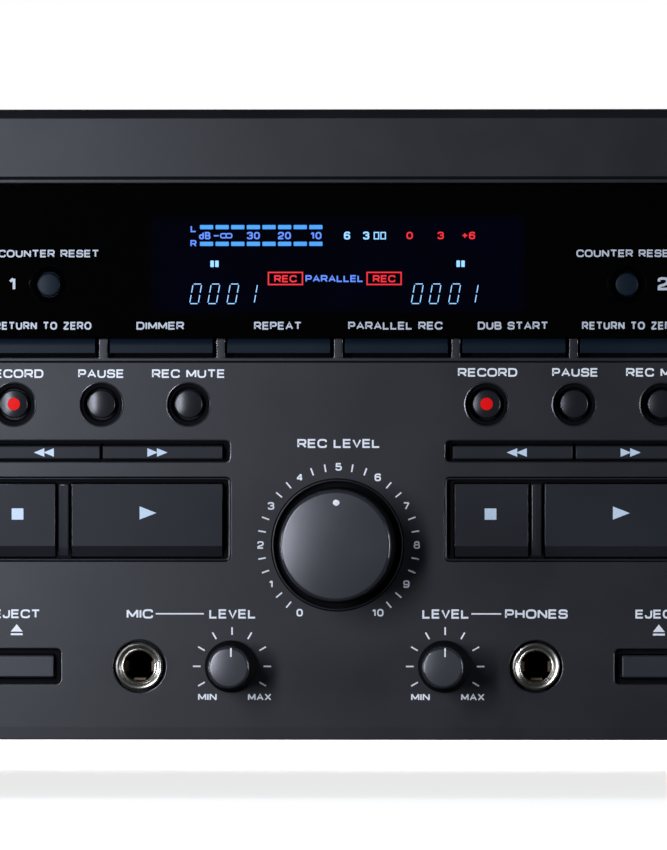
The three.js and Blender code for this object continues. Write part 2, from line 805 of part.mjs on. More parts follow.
add("front_panel", frontPanel(), panelPaint);
add("display_lens", displayLens(), glossBlack);
add("bottom_chassis", bottomChassis(), zincSteel);
add("top_cover", topCover(), casePaint);
add("rear_panel", rearPanel(), casePaint);
const footShape = geometryOf(foot());
add("foot_front_left", footShape, rubber, -FOOT.x, FOOT.front);
add("foot_front_right", footShape, rubber, FOOT.x, FOOT.front);
add("foot_rear_left", footShape, rubber, -FOOT.x, FOOT.rear);
add("foot_rear_right", footShape, rubber, FOOT.x, FOOT.rear);

add("control_board", controlBoard(), circuitBoard);
add("main_board", mainBoard(), circuitBoard);
add("power_transformer", transformer(), copperAndIron, -150, 165, 0);
add("mains_inlet", mainsInlet(), blackPlastic, INLET.x, 0, INLET.z);
add("line_sockets", lineSockets(), blackPlastic, LINE.x, 0, LINE.z);
const jackShape = geometryOf(jackSocket());
add("mic_jack", jackShape, nickel, -JACK_X, 0, LOW_ROW_Z);
add("phones_jack", jackShape, nickel, JACK_X, 0, LOW_ROW_Z);

add("record_level_knob", recordKnob(), knobPlastic, 0, 0, REC_KNOB_Z);
const smallKnobShape = geometryOf(smallKnob());
add("mic_level_knob", smallKnobShape, knobPlastic, -SMALL_KNOB_X, 0, LOW_ROW_Z);
add("phones_level_knob", smallKnobShape, knobPlastic, SMALL_KNOB_X, 0, LOW_ROW_Z);

const STRIP_NAMES = [
  "return_to_zero_button_1",
  "dimmer_button",
  "repeat_button",
  "parallel_record_button",
  "dub_start_button",
  "return_to_zero_button_2",
];
const stripShape = geometryOf(stripKey(STRIP_BUTTON, 0.4));
STRIP_NAMES.forEach((name, i) => {
  add(name, stripShape, keyPlastic, (i - 2.5) * STRIP_PITCH, 0, STRIP_Z);
});
add("power_button", flatKey(POWER_BUTTON, 0.8, 1), keyPlastic, POWER_X, 0, LOW_ROW_Z);

const roundShape = geometryOf(roundKey(ROUND_BUTTON_R, 0.3, FLANGE_Y));
const counterShape = geometryOf(roundKey(COUNTER_BUTTON_R, 0.1, LENS.thick + GAP));
const windShape = geometryOf(flatKey(WIND_BUTTON, 0.2, 0.3));
const stopShape = geometryOf(transportKey(STOP_BUTTON, 0.8));
const playShape = geometryOf(transportKey(PLAY_BUTTON, 0.8));
const ejectShape = geometryOf(flatKey(EJECT_BUTTON, 0.6));
const doorShape = geometryOf(cassetteDoor());
const windowShape = geometryOf(doorWindow());
const frameShape = geometryOf(mechanismFrame());
const spindleShape = geometryOf(reelSpindle());
const flywheelShape = geometryOf(capstanFlywheel());
const headShape = geometryOf(headBase());
const rollerShape = geometryOf(pinchRoller());

for (const { number, sign } of SIDES) {
  const cluster = sign * CLUSTER_X;
  add("counter_reset_button_" + number, counterShape, keyPlastic, sign * COUNTER_X, 0, COUNTER_Z);
  ["record", "pause", "record_mute"].forEach((name, i) => {
    const buttonX = cluster + (i - 1) * ROUND_PITCH;
    add(`${name}_button_${number}`, roundShape, keyPlastic, buttonX, 0, ROUND_ROW_Z);
  });
  const windStep = WIND_BUTTON.width / 2 + GAP;
  add("rewind_button_" + number, windShape, keyPlastic, cluster - windStep, 0, WIND_ROW_Z);
  add("fast_forward_button_" + number, windShape, keyPlastic, cluster + windStep, 0, WIND_ROW_Z);
  add("stop_button_" + number, stopShape, keyPlastic, cluster + STOP_BUTTON.x, 0, TRANSPORT_Z);
  add("play_button_" + number, playShape, keyPlastic, cluster + PLAY_BUTTON.x, 0, TRANSPORT_Z);
  add("eject_button_" + number, ejectShape, keyPlastic, sign * EJECT_X, 0, LOW_ROW_Z);

  const x = sign * DOOR.x;
  add("cassette_door_" + number, doorShape, panelPaint, x);
  add("door_window_" + number, windowShape, smokedPlastic, x);
  add("mechanism_frame_" + number, frameShape, zincSteel, x);
  add("supply_spindle_" + number, spindleShape, blackPlastic, x - HUB_SPACING / 2, 0, HUB_Z);
  add("takeup_spindle_" + number, spindleShape, blackPlastic, x + HUB_SPACING / 2, 0, HUB_Z);
  add("capstan_flywheel_" + number, flywheelShape, brass, x + CAPSTAN.x, 0, CAPSTAN.z);
  add("head_base_" + number, headShape, zincSteel, x);
  add("pinch_roller_" + number, rollerShape, rubber, x + CAPSTAN.x, 0, PINCH_Z);
}

export default deck;
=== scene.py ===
"""The visible model of a twin cassette deck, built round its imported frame.

Positions are in panel millimetres: x from the middle, y back from the front panel's face, z up from the
panel's lower edge. place() turns them into metres in the frame, and every key and knob takes its place from
its CAD node's box.
"""

import math

import bmesh
import bpy
from mathutils import Matrix, Vector


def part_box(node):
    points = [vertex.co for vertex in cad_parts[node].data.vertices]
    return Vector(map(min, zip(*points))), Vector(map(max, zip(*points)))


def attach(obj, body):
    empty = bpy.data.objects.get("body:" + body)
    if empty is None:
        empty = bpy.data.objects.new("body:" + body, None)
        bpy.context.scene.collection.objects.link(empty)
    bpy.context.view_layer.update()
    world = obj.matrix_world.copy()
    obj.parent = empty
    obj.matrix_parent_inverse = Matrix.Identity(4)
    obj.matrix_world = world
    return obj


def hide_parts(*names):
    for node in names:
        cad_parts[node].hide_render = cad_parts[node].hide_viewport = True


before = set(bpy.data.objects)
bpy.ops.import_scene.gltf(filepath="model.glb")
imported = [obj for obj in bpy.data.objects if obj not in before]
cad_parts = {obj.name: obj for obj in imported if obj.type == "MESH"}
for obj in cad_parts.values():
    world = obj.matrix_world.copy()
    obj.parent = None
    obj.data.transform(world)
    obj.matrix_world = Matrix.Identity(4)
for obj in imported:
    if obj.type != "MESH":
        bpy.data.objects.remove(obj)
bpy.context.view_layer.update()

MM = 0.001
PANEL_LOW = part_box("front_panel")[0]
CASE = "case"  # the body that everything fixed rides on


def place(x, y, z):
    return Vector((x * MM, PANEL_LOW.y + y * MM, PANEL_LOW.z + z * MM))


class Span:
    """A CAD node's box in panel millimetres."""

    def __init__(self, node):
        low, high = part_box(node)
        self.x0, self.x1 = low.x / MM, high.x / MM
        self.y0, self.y1 = ((v.y - PANEL_LOW.y) / MM for v in (low, high))
        self.z0, self.z1 = ((v.z - PANEL_LOW.z) / MM for v in (low, high))
        self.x, self.y, self.z = (
            (a + b) / 2 for a, b in ((self.x0, self.x1), (self.y0, self.y1), (self.z0, self.z1))
        )
        self.width = self.x1 - self.x0
        self.height = self.z1 - self.z0


PANEL = Span("front_panel")
LENS = Span("display_lens")
COVER = Span("top_cover")
REAR = Span("rear_panel")
SKIN = 3.5  # thickness of the panel's face
SIDES = ((1, -1), (2, 1))  # deck number and the side that it is on
CLUSTER_X = (Span("stop_button_2").x0 + Span("play_button_2").x1) / 2
DOOR_X = Span("cassette_door_2").x

# ---------------------------------------------------------------- outlines


def corners(x0, x1, z0, z1):
    return [(x0, z0), (x1, z0), (x1, z1), (x0, z1)]


def rounded(path, radius, steps=4):
    """A closed path of right-angled corners, drawn anticlockwise, as a function of how far it is grown."""

    def outline(grow=0.0):
        points = []
        for i, here in enumerate(path):
            before, after = path[i - 1], path[(i + 1) % len(path)]
            a = Vector((here[0] - before[0], here[1] - before[1])).normalized()
            b = Vector((after[0] - here[0], after[1] - here[1])).normalized()
            diagonal = Vector((a.y + b.y, -a.x - b.x))
            outward = a.x * b.y - a.y * b.x > 0
            side = 1 if outward else -1
            centre = Vector(here) - side * radius * diagonal
            reach = max(radius + side * grow, 1e-4)
            start = math.atan2(-side * a.x, side * a.y)
            for k in range(steps + 1):
                angle = start + side * k / steps * math.pi / 2
                points.append((centre.x + reach * math.cos(angle), centre.y + reach * math.sin(angle)))
        return points

    return outline


def circle(x, z, r, segments=64):
    def outline(grow=0.0):
        turns = [k / segments * math.tau for k in range(segments)]
        return [(x + (r + grow) * math.cos(a), z + (r + grow) * math.sin(a)) for a in turns]

    return outline


def shape(*points):
    """A closed path that isn't grown, such as a printed symbol."""
    return lambda grow=0.0: list(points)


def round_edge(r, y, steps=3):
    """A rounded front edge, as [grow, y] from the face at y to the side wall."""
    angles = [k / steps * math.pi / 2 for k in range(steps + 1)]
    return [(r * math.sin(a) - r, y + r - r * math.cos(a)) for a in angles]


def round_mouth(r, y=0.0, steps=3):
    """The rounded mouth of a recess, as [grow, y] from the face at y to its wall."""
    return [(-grow, depth) for grow, depth in round_edge(r, y, steps)]


# ---------------------------------------------------------------- solids


class Solid:
    """Collects closed surfaces. turn places them, from their own millimetres to panel millimetres."""

    def __init__(self, turn=Matrix.Identity(4)):
        self.mesh = bmesh.new()
        self.turn = turn

    def vert(self, x, y, z):
        return self.mesh.verts.new(place(*(self.turn @ Vector((x, y, z)))))

    def ring(self, points, y):
        return [self.vert(x, y, z) for x, z in points]

    def face(self, verts, slot=0):
        made = self.mesh.faces.new(verts)
        made.material_index = slot
        return made

    def skin(self, a, b, slot=0):
        for i in range(len(a)):
            self.face((a[i - 1], a[i], b[i], b[i - 1]), slot)

    def fill(self, rings, slot=0):
        """A flat face inside the first ring, with a hole for each other ring."""
        if len(rings) == 1:
            self.face(rings[0], slot)
            return
        edges = []
        for ring in rings:
            for i in range(len(ring)):
                pair = (ring[i - 1], ring[i])
                edges.append(self.mesh.edges.get(pair) or self.mesh.edges.new(pair))
        made = bmesh.ops.triangle_fill(self.mesh, edges=edges, use_beauty=True, use_dissolve=False)
        for item in made["geom"]:
            if isinstance(item, bmesh.types.BMFace):
                item.material_index = slot

    def walls(self, outline, profile, slots=(0,)):
        """Rings of the outline along a profile of [grow, y]. The first and last rings are returned."""
        rings = [self.ring(outline(grow), y) for grow, y in profile]
        for i, (a, b) in enumerate(zip(rings, rings[1:])):
            self.skin(a, b, slots[min(i, len(slots) - 1)])
        return rings[0], rings[-1]

    def loft(self, outline, profile, slots=(0,)):
        first, last = self.walls(outline, profile, slots)
        self.fill([first], slots[0])
        self.fill([last], slots[-1])

    def pierced(self, *parts):
        """A body with holes through it. Each part is an outline and its profile, the outside first."""
        ends = [self.walls(outline, profile) for outline, profile in parts]
        for rings in zip(*ends):
            self.fill(rings)

    def bar(self, x0, x1, y0, y1, z0, z1, edge=0.15, radius=0.2, slot=0):
        profile = round_edge(edge, y0, 2) + [(0, y1)]
        self.loft(rounded(corners(x0, x1, z0, z1), radius, 2), profile, (slot,))

    def prism(self, section, x0, x1, slot=0):
        """A section of [y, z] points drawn out along X."""
        ends = [[self.vert(x, y, z) for y, z in section] for x in (x0, x1)]
        self.skin(*ends, slot)
        for end in ends:
            self.face(end, slot)

    def lathe(self, profile, x=0.0, z=0.0, segments=64, slots=(0,)):
        """A profile of [radius, y] turned about Y. It starts and ends on the axis, or on its first point."""
        turns = [k / segments * math.tau for k in range(segments)]
        closed = profile[0] == profile[-1]
        rings = []
        for r, y in profile[:-1] if closed else profile:
            if r == 0:
                rings.append([self.vert(x, y, z)])
            else:
                rings.append([self.vert(x + r * math.cos(a), y, z + r * math.sin(a)) for a in turns])
        pairs = list(zip(rings, rings[1:] + rings[:1])) if closed else list(zip(rings, rings[1:]))
        for i, (a, b) in enumerate(pairs):
            slot = slots[min(i, len(slots) - 1)]
            if len(a) > 1 and len(b) > 1:
                self.skin(a, b, slot)
                continue
            tip, rim = (a[0], b) if len(a) == 1 else (b[0], a)
            for k in range(len(rim)):
                self.face((tip, rim[k - 1], rim[k]), slot)


def piece(name, solid, paints, body, replaces=(), crease=35, bevel=0.0, bevel_slot=-1):
    """The finished Blender object of a Solid. Edges that turn more than crease degrees stay sharp, or are
    rounded where a bevel is given in millimetres."""
    made = solid.mesh
    bmesh.ops.recalc_face_normals(made, faces=made.faces)
    for face in made.faces:
        face.smooth = True
    for edge in made.edges:
        if len(edge.link_faces) != 2 or edge.calc_face_angle() > math.radians(crease):
            edge.smooth = False
    mesh = bpy.data.meshes.new(name)
    made.to_mesh(mesh)
    made.free()
    thing = bpy.data.objects.new(name, mesh)
    bpy.context.scene.collection.objects.link(thing)
    for paint in paints:
        mesh.materials.append(paint)
    if bevel:
        round_off(thing, bevel, crease, bevel_slot)
    even_normals(thing, 90)
    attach(thing, body)
    if replaces:
        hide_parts(*replaces)
    return thing


def round_off(thing, width, crease, slot=-1, segments=3, harden=True):
    """Rounds the edges that turn more than crease degrees. Slot -1 keeps the paint of the faces beside."""
    bevel = thing.modifiers.new("edges", "BEVEL")
    bevel.width = width * MM
    bevel.segments = segments
    bevel.limit_method = "ANGLE"
    bevel.angle_limit = math.radians(crease)
    bevel.harden_normals = harden
    bevel.material = slot


def even_normals(thing, weight):
    normals = thing.modifiers.new("normals", "WEIGHTED_NORMAL")
    normals.keep_sharp = True
    normals.weight = weight


def bend(y, z, r, start, end, steps=5):
    """An arc of [y, z] points about a centre. 0 degrees points back and 90 points up."""
    angles = [math.radians(start + (end - start) * k / steps) for k in range(steps + 1)]
    return [(y + r * math.cos(a), z + r * math.sin(a)) for a in angles]


# ---------------------------------------------------------------- materials


def shader(name, colour, roughness, metallic=0.0):
    material = bpy.data.materials.new(name)
    material.use_nodes = True
    surface = material.node_tree.nodes["Principled BSDF"]
    surface.inputs["Base Color"].default_value = (*colour, 1)
    surface.inputs["Roughness"].default_value = roughness
    surface.inputs["Metallic"].default_value = metallic
    return material, surface


def node(material, kind, **values):
    made = material.node_tree.nodes.new(kind)
    for name, value in values.items():
        if name in made.inputs:
            made.inputs[name].default_value = value
        else:
            setattr(made, name, value)
    return made


def noise(material, scale, detail=2.0, stretch=(1, 1, 1)):
    """Noise in object space: scale features to the metre, drawn out on the axes where stretch is below 1."""
    link = material.node_tree.links.new
    where = node(material, "ShaderNodeTexCoord")
    mapping = node(material, "ShaderNodeMapping", Scale=[scale * s for s in stretch])
    texture = node(material, "ShaderNodeTexNoise", Scale=1.0, Detail=detail)
    link(where.outputs["Object"], mapping.inputs["Vector"])
    link(mapping.outputs["Vector"], texture.inputs["Vector"])
    return texture.outputs["Fac"]


def ramp(material, source, low, high, start=0.3, end=0.7):
    """source as a number from low to high."""
    made = node(material, "ShaderNodeMapRange")
    for name, value in (("From Min", start), ("From Max", end), ("To Min", low), ("To Max", high)):
        made.inputs[name].default_value = value
    material.node_tree.links.new(source, made.inputs["Value"])
    return made.outputs["Result"]


def product(material, result, *others):
    """The sources multiplied together."""
    for other in others:
        both = node(material, "ShaderNodeMath", operation="MULTIPLY")
        material.node_tree.links.new(result, both.inputs[0])
        material.node_tree.links.new(other, both.inputs[1])
        result = both.outputs[0]
    return result


def tint(material, source, dark, light):
    """A colour between dark and light, picked by source."""
    made = node(material, "ShaderNodeMix", data_type="RGBA")
    material.node_tree.links.new(source, made.inputs["Factor"])
    sockets = [socket for socket in made.inputs if socket.type == "RGBA"]
    for socket, colour in zip(sockets, (dark, light)):
        socket.default_value = (*colour, 1)
    return next(socket for socket in made.outputs if socket.type == "RGBA")


BROAD = 60  # slow changes to the metre


def textured(name, colour, roughness, metallic=0.0, grain=5000, depth=20, spread=0.12, stretch=(1, 1, 1),
             rough_spread=0.08, gloss=0.5):
    """A surface with a fine grain in its bump, and broad slow changes in its colour and roughness. grain is
    to the metre and depth in micrometres."""
    material, surface = shader(name, colour, roughness, metallic)
    surface.inputs["Specular IOR Level"].default_value = gloss
    link = material.node_tree.links.new
    fine = noise(material, grain, 3, stretch)
    broad = noise(material, BROAD, 4, stretch)
    patches = ramp(material, product(material, fine, broad), 0, 1, 0.15, 0.35)
    dark = [c * (1 - spread) for c in colour]
    light = [min(c * (1 + spread), 1) for c in colour]
    link(tint(material, patches, dark, light), surface.inputs["Base Color"])
    half = rough_spread / 2
    link(ramp(material, broad, roughness - half, roughness + half), surface.inputs["Roughness"])
    bump = node(material, "ShaderNodeBump", Strength=1.0, Distance=depth * 1e-6)
    link(fine, bump.inputs["Height"])
    link(bump.outputs["Normal"], surface.inputs["Normal"])
    return material


def glowing(name, colour, strength):
    """A lit segment, a little uneven over its surface as a fluorescent one is."""
    material, surface = shader(name, [c * 0.2 for c in colour], 0.5)
    uneven = ramp(material, noise(material, 900), 0.75, 1.1)
    dim = [c * 0.7 for c in colour]
    material.node_tree.links.new(tint(material, uneven, dim, colour), surface.inputs["Emission Color"])
    surface.inputs["Emission Strength"].default_value = strength
    return material


panel_paint = textured("panel_paint", (0.0108, 0.0116, 0.0144), 0.455, grain=6500, depth=14, spread=0.1)
key_plastic = textured(
    "key_plastic", (0.023, 0.024, 0.029), 0.45, grain=7000, depth=8, spread=0.08, gloss=0.17,
)
key_edge = textured("key_edge", (0.023, 0.024, 0.029), 0.22, grain=7000, depth=3, spread=0.08, gloss=0.8)
eject_plastic = textured("eject_plastic", (0.018, 0.021, 0.027), 0.45, grain=7000, depth=8, spread=0.08)
strip_plastic = textured(
    "strip_plastic", (0.0055, 0.012, 0.020), 0.42, grain=7000, depth=6, spread=0.08, gloss=0.14,
)
cap_plastic = textured("cap_plastic", (0.014, 0.015, 0.018), 0.28, grain=9000, depth=4, spread=0.06)
knob_plastic = textured(
    "knob_plastic", (0.052, 0.053, 0.059), 0.30, grain=7000, depth=10, spread=0.16, rough_spread=0.01,
    gloss=0.9,
)
knob_edge = textured(
    "knob_edge", (0.030, 0.031, 0.035), 0.15, grain=7000, depth=2, spread=0.1, rough_spread=0.03,
)
# painted shade: a near-black paint, darker than the black plastics, for the walls and floors of recesses and
# openings, the hidden backs of keys, the knobs' sides and the sockets' bores, standing in for the shade in
# them
painted_shade_black = textured("painted_shade_black", (0.003, 0.003, 0.004), 0.7, grain=6000, depth=10, gloss=0.08)
door_paint = textured("door_paint", (0.020, 0.021, 0.026), 0.42, grain=6500, depth=12, spread=0.1)
spindle_plastic = textured("spindle_plastic", (0.32, 0.31, 0.29), 0.45, grain=4000, depth=8)
ring_red = textured("ring_red", (0.42, 0.012, 0.012), 0.4, grain=4000, depth=6)
ring_white = textured("ring_white", (0.72, 0.72, 0.70), 0.4, grain=4000, depth=6)
moulded_black = textured("moulded_black", (0.012, 0.012, 0.013), 0.45, grain=5000, depth=20)
powder_coat = textured(
    "powder_coat", (0.010, 0.010, 0.012), 0.55, grain=2600, depth=50, spread=0.1, rough_spread=0.03,
)
zinc = textured(
    "zinc", (0.52, 0.53, 0.55), 0.34, 1.0, grain=2500, depth=10, spread=0.1, stretch=(0.05, 1, 1),
)
nickel = textured("nickel", (0.74, 0.70, 0.60), 0.27, 1.0, grain=3000, depth=3, spread=0.05)
brass = textured("brass", (0.5, 0.38, 0.16), 0.28, 1.0, grain=3000, depth=4)
rubber = textured("rubber", (0.011, 0.011, 0.012), 0.8, grain=3500, depth=40, spread=0.2)
case_black = textured("case_black", (0.03, 0.03, 0.033), 0.35, 1.0, grain=3000, depth=4)
mechanism_plastic = textured("mechanism_plastic", (0.035, 0.035, 0.038), 0.5, grain=4000, depth=10)
circuit = textured("circuit", (0.02, 0.075, 0.03), 0.4, grain=900, depth=10, spread=0.25)
iron = textured("iron", (0.12, 0.08, 0.05), 0.5, 0.3, grain=2000, depth=40, stretch=(1, 1, 0.1))
lens_ink = textured("lens_ink", (0.60, 0.65, 0.70), 0.5, grain=4000, depth=4, spread=0.06)
symbol_ink = textured("symbol_ink", (0.66, 0.80, 0.92), 0.5, grain=4000, depth=4, spread=0.06)
label_ink = textured("label_ink", (0.92, 0.95, 0.98), 0.5, grain=4000, depth=4, spread=0.06)
record_red = textured("record_red", (0.95, 0.004, 0.004), 0.5, grain=5000, depth=4, spread=0.05, gloss=0.12)
blue_segment = glowing("blue_segment", (0.045, 0.33, 0.88), 1.0)
digit_segment = glowing("digit_segment", (0.27, 0.60, 1.0), 1.2)
label_segment = glowing("label_segment", (0.10, 0.26, 1.0), 1.0)
red_segment = glowing("red_segment", (0.85, 0.012, 0.02), 1.0)


def lens_black():
    """Polished smoked acrylic. The display tube glows faintly blue through the middle of it."""
    material, surface = shader("lens_black", (0.0006, 0.0006, 0.0007), 0.05)
    link = material.node_tree.links.new
    dust = ramp(material, noise(material, 400, 6), 0.03, 0.06)
    link(dust, surface.inputs["Roughness"])
    where = node(material, "ShaderNodeTexCoord")
    split = node(material, "ShaderNodeSeparateXYZ")
    link(where.outputs["Object"], split.inputs["Vector"])
    low, high = place(-40, 0, 88.5), place(40, 0, 110.5)
    soft = 2.2 * MM
    shares = []
    for axis, edge0, edge1 in (("X", low.x, high.x), ("Z", low.z, high.z)):
        for edge, inward in ((edge0, soft), (edge1, -soft)):
            shares.append(ramp(material, split.outputs[axis], 0, 1, edge, edge + inward))
    glow = product(material, *shares, ramp(material, noise(material, 55, 2), 0.35, 1.0))
    link(tint(material, glow, (0, 0, 0), (0.0002, 0.0002, 0.0045)), surface.inputs["Emission Color"])
    surface.inputs["Emission Strength"].default_value = 1.0
    return material


def smoked_window():
    """The doors' windows: dark acrylic that shows the spindles behind it."""
    material, surface = shader("smoked_window", (0.004, 0.004, 0.005), 0.05)
    dust = ramp(material, noise(material, 300, 6), 0.03, 0.09)
    material.node_tree.links.new(dust, surface.inputs["Roughness"])
    surface.inputs["Alpha"].default_value = 0.72
    return material


lens_gloss = lens_black()
window_gloss = smoked_window()

# ---------------------------------------------------------------- front panel

GAP = 0.3  # clearance round a key or a pane
INK = 0.03  # thickness of printing
ROUND_NAMES = ("record", "pause", "record_mute")
STRIP_NAMES = (
    "return_to_zero_button_1",
    "dimmer_button",
    "repeat_button",
    "parallel_record_button",
    "dub_start_button",
    "return_to_zero_button_2",
)
REC = Span("record_level_knob")
JACKS = [Span("mic_jack"), Span("phones_jack")]
SMALL_KNOBS = [Span("mic_level_knob"), Span("phones_level_knob")]
FLANGE = SKIN + GAP  # where the flange behind a key starts


def key_hole(key, high, radius=0.3):
    """The opening for a key."""
    half = high / 2 + GAP
    return rounded(corners(key.x0 - GAP, key.x1 + GAP, key.z - half, key.z + half), radius, 2)


def sunk(depth, mouth=0.22):
    """The profile of a recess with a rounded mouth."""
    return round_mouth(mouth) + [(0, depth)]


def front_panel():
    solid = Solid()
    mouths, backs = [], []

    # slot 1 is the painted shade-black, here on an opening's wall behind its mouth
    def through(outline, profile, slots=(2, 2, 2, 1)):
        mouth, back = solid.walls(outline, profile + [(profile[-1][0], SKIN)], slots)
        mouths.append(mouth)
        backs.append(back)

    def recess(outline, profile, holes=(), slots=(2, 2, 2, 0)):
        """A recess in the panel's face, with openings through its floor. The floor and the openings' walls
        are painted shade-black.
        """
        mouth, floor = solid.walls(outline, profile, slots)
        mouths.append(mouth)
        rims = [floor]
        for hole in holes:
            rim, back = solid.walls(hole, [(0, profile[-1][1]), (0, SKIN)], (1,))
            rims.append(rim)
            backs.append(back)
        solid.fill(rims, 1)

    # grooves under the top band and along the top of the control field, with floors painted shade-black
    recess(rounded(corners(-216.4, 216.4, 117.3, 117.85), 0.12), sunk(0.5, 0.1))
    recess(rounded(corners(-79.5, 79.5, 78.95, 79.3), 0.1), sunk(0.4, 0.08))

    # the lens's opening, with a slot under it for each strip key
    comb = [(LENS.x0 - GAP, LENS.z0 - GAP)]
    for name in STRIP_NAMES:
        key = Span(name)
        x0, x1 = key.x0 - 0.45, key.x1 + 0.75
        comb += [(x0, LENS.z0 - GAP), (x0, 80.0), (x1, 80.0), (x1, LENS.z0 - GAP)]
    comb.append((LENS.x1 + GAP, LENS.z0 - GAP))
    comb += [(LENS.x1 + GAP, LENS.z1 + GAP), (LENS.x0 - GAP, LENS.z1 + GAP)]
    through(rounded(comb, 0.3), round_mouth(0.22))

    # recess walls in slot 1, painted shade-black
    painted_shade_walls = (2, 2, 2, 1)
    lip = [(0.34, 0), (0.28, -0.07), (0.16, -0.1), (0.04, -0.04), (0, 0.1), (0, 0.9)]
    lip += [(-0.75, 1.0), (-0.8, 1.1), (-0.85, 2.2), (-1.15, 2.3)]
    for number, sign in SIDES:
        cluster, door = sign * CLUSTER_X, sign * DOOR_X
        for name in ROUND_NAMES:
            key = Span(f"{name}_button_{number}")
            # each round key's dish is painted shade-black inside its lip
            through(circle(key.x, key.z - 0.1, 4.42), lip, (2, 2, 2, 2, 1))
        rewind, forward, stop, play, eject = (
            Span(f"{name}_button_{number}") for name in ("rewind", "fast_forward", "stop", "play", "eject")
        )
        # the wind keys share an opening, because theirs would touch
        both = corners(rewind.x0 - GAP, forward.x1 + GAP, rewind.z - 1.65, rewind.z + 1.65)
        path = corners(cluster - 27.15, cluster + 27.15, rewind.z - 2.15, rewind.z + 2.2)
        recess(rounded(path, 0.9), sunk(2, 0.3), [rounded(both, 0.3, 2)], painted_shade_walls)
        path = corners(cluster - 27.4, cluster + 27.4, stop.z - 8.65, stop.z + 9.1)
        holes = [key_hole(stop, 15.3), key_hole(play, 15.3)]
        recess(rounded(path, 1.1), sunk(1.4, 0.1), holes, painted_shade_walls)
        path = corners(eject.x - 9.3, eject.x + 9.3, eject.z - 3.7, eject.z + 3.7)
        recess(rounded(path, 1.0), sunk(1.6), [key_hole(eject, 4.7)])
        through(rounded(corners(door - 62.6, door + 62.6, 26.6, 115.1), 0.5), round_mouth(0.25))
    power = Span("power_button")
    path = corners(power.x - 9.25, power.x + 9.25, power.z - 5.5, power.z + 5.5)
    recess(rounded(path, 1.4), sunk(1.4), [key_hole(power, 8, 0.6)])
    for jack in JACKS:
        through(circle(jack.x, jack.z, 5.45), round_mouth(0.3))
    for knob in SMALL_KNOBS:
        through(circle(knob.x, knob.z, 3.6), round_mouth(0.2), (1,))

    # the collar round the record level knob, and the dish that the knob turns in; the thin groove outside the
    # collar and the dish inside it are painted shade-black
    collar = [(0.66, 0), (0.6, 0.25), (0.46, 0.27), (0.4, -0.02), (0.34, -0.14), (0.2, -0.18), (0.06, -0.1)]
    collar += [(0, 0.1), (0, 1.5)]
    recess(circle(REC.x, REC.z, 13.3, 128), collar, [circle(REC.x, REC.z, 3.6)], (1, 1, 0, 0, 0, 0, 1))

    # the outside: face, chamfers above and below, rim, and the hollow back
    rows = (
        (0.45, 0, 2.75, 0, 2.05),
        (0.3, 0.04, 2.55, 0.06, 1.8),
        (0.15, 0.12, 0.22, 1.5, 0.12),
        (0, 0.5, 0, 1.7, 0),
        (0, 11.8, 0, 11.8, 0),
        (0.2, 12, 0.2, 12, 0.2),
        (2.5, 12, 2.5, 12, 2.5),
        (2.5, SKIN, 2.5, SKIN, 2.5),
    )
    rings = []
    for inset, low_y, low_inset, high_y, high_inset in rows:
        x0, x1 = PANEL.x0 + inset, PANEL.x1 - inset
        z0, z1 = PANEL.z0 + low_inset, PANEL.z1 - high_inset
        spots = ((x0, low_y, z0), (x1, low_y, z0), (x1, high_y, z1), (x0, high_y, z1))
        rings.append([solid.vert(*spot) for spot in spots])
    for a, b in zip(rings, rings[1:]):
        solid.skin(a, b)
    solid.fill([rings[0]] + mouths)
    solid.fill([rings[-1]] + backs)
    piece("front_moulding", solid, [panel_paint, painted_shade_black, key_edge], CASE, ["front_panel"])

    # a rib stands between the stop key and the play key, and a thin lip goes round both
    ribs, lips = Solid(), Solid()
    for number, sign in SIDES:
        stop, play = Span(f"stop_button_{number}"), Span(f"play_button_{number}")
        middle = (stop.x1 + play.x0) / 2
        low, high = stop.z - 7.6, stop.z + 7.6
        section = [(0.1, low + 2.2), (0.1, high), (1.5, high), (1.5, low)]
        ribs.prism(section, middle - 1.1, middle + 1.1)
        cluster = sign * CLUSTER_X
        outer = corners(cluster - 27.2, cluster + 27.2, stop.z - 8.4, stop.z + 8.85)
        inner = corners(cluster - 26.9, cluster + 26.9, stop.z - 8.1, stop.z + 8.55)
        lips.pierced(
            (rounded(outer, 0.9), round_edge(0.06, 0.02) + [(0, 1.5)]),
            (rounded(inner, 0.6), round_mouth(0.16, 0.02) + [(0, 1.5)]),
        )
    piece("transport_ribs", ribs, [key_plastic, key_edge], CASE, bevel=0.25, bevel_slot=1)
    piece("transport_lips", lips, [key_edge], CASE)


def display_lens():
    solid = Solid()
    outline = rounded(corners(LENS.x0, LENS.x1, LENS.z0, LENS.z1), 0.4, 3)
    profile = [(1.74, 0), (1.7, 0.03), (1.66, 0.1), (0.35, 1.35), (0.3, 1.5), (0.3, LENS.y1)]
    buttons = [Span(f"counter_reset_button_{number}") for number, _ in SIDES]
    holes = [(circle(button.x, button.z, 2.45), profile) for button in buttons]
    solid.pierced((outline, round_edge(0.2, 0) + [(0, LENS.y1)]), *holes)
    piece("display_window", solid, [lens_gloss], CASE, ["display_lens"])


# ---------------------------------------------------------------- keys and knobs


def key_back(solid, key, width, height):
    """The flange that stops a key against the panel's back, and the stem that reaches its switch. Both are
    painted shade-black, so that the gaps round a key look dark.
    """
    half, back = height / 2 + 1, FLANGE + 1.2
    solid.bar(key.x - width / 2, key.x + width / 2, FLANGE, back, key.z - half, key.z + half, 0.1, slot=1)
    solid.bar(key.x - 1.5, key.x + 1.5, FLANGE + 1, key.y1, key.z - 1.2, key.z + 1.2, 0.1, slot=1)


def symbol(body, y, *outlines):
    """A printed mark on a key's face at y, standing on it by the ink's thickness."""
    solid = Solid()
    for outline in outlines:
        solid.loft(outline, [(0, y - INK), (0, y + INK)])
    piece(body + "_mark", solid, [symbol_ink], body, crease=20)


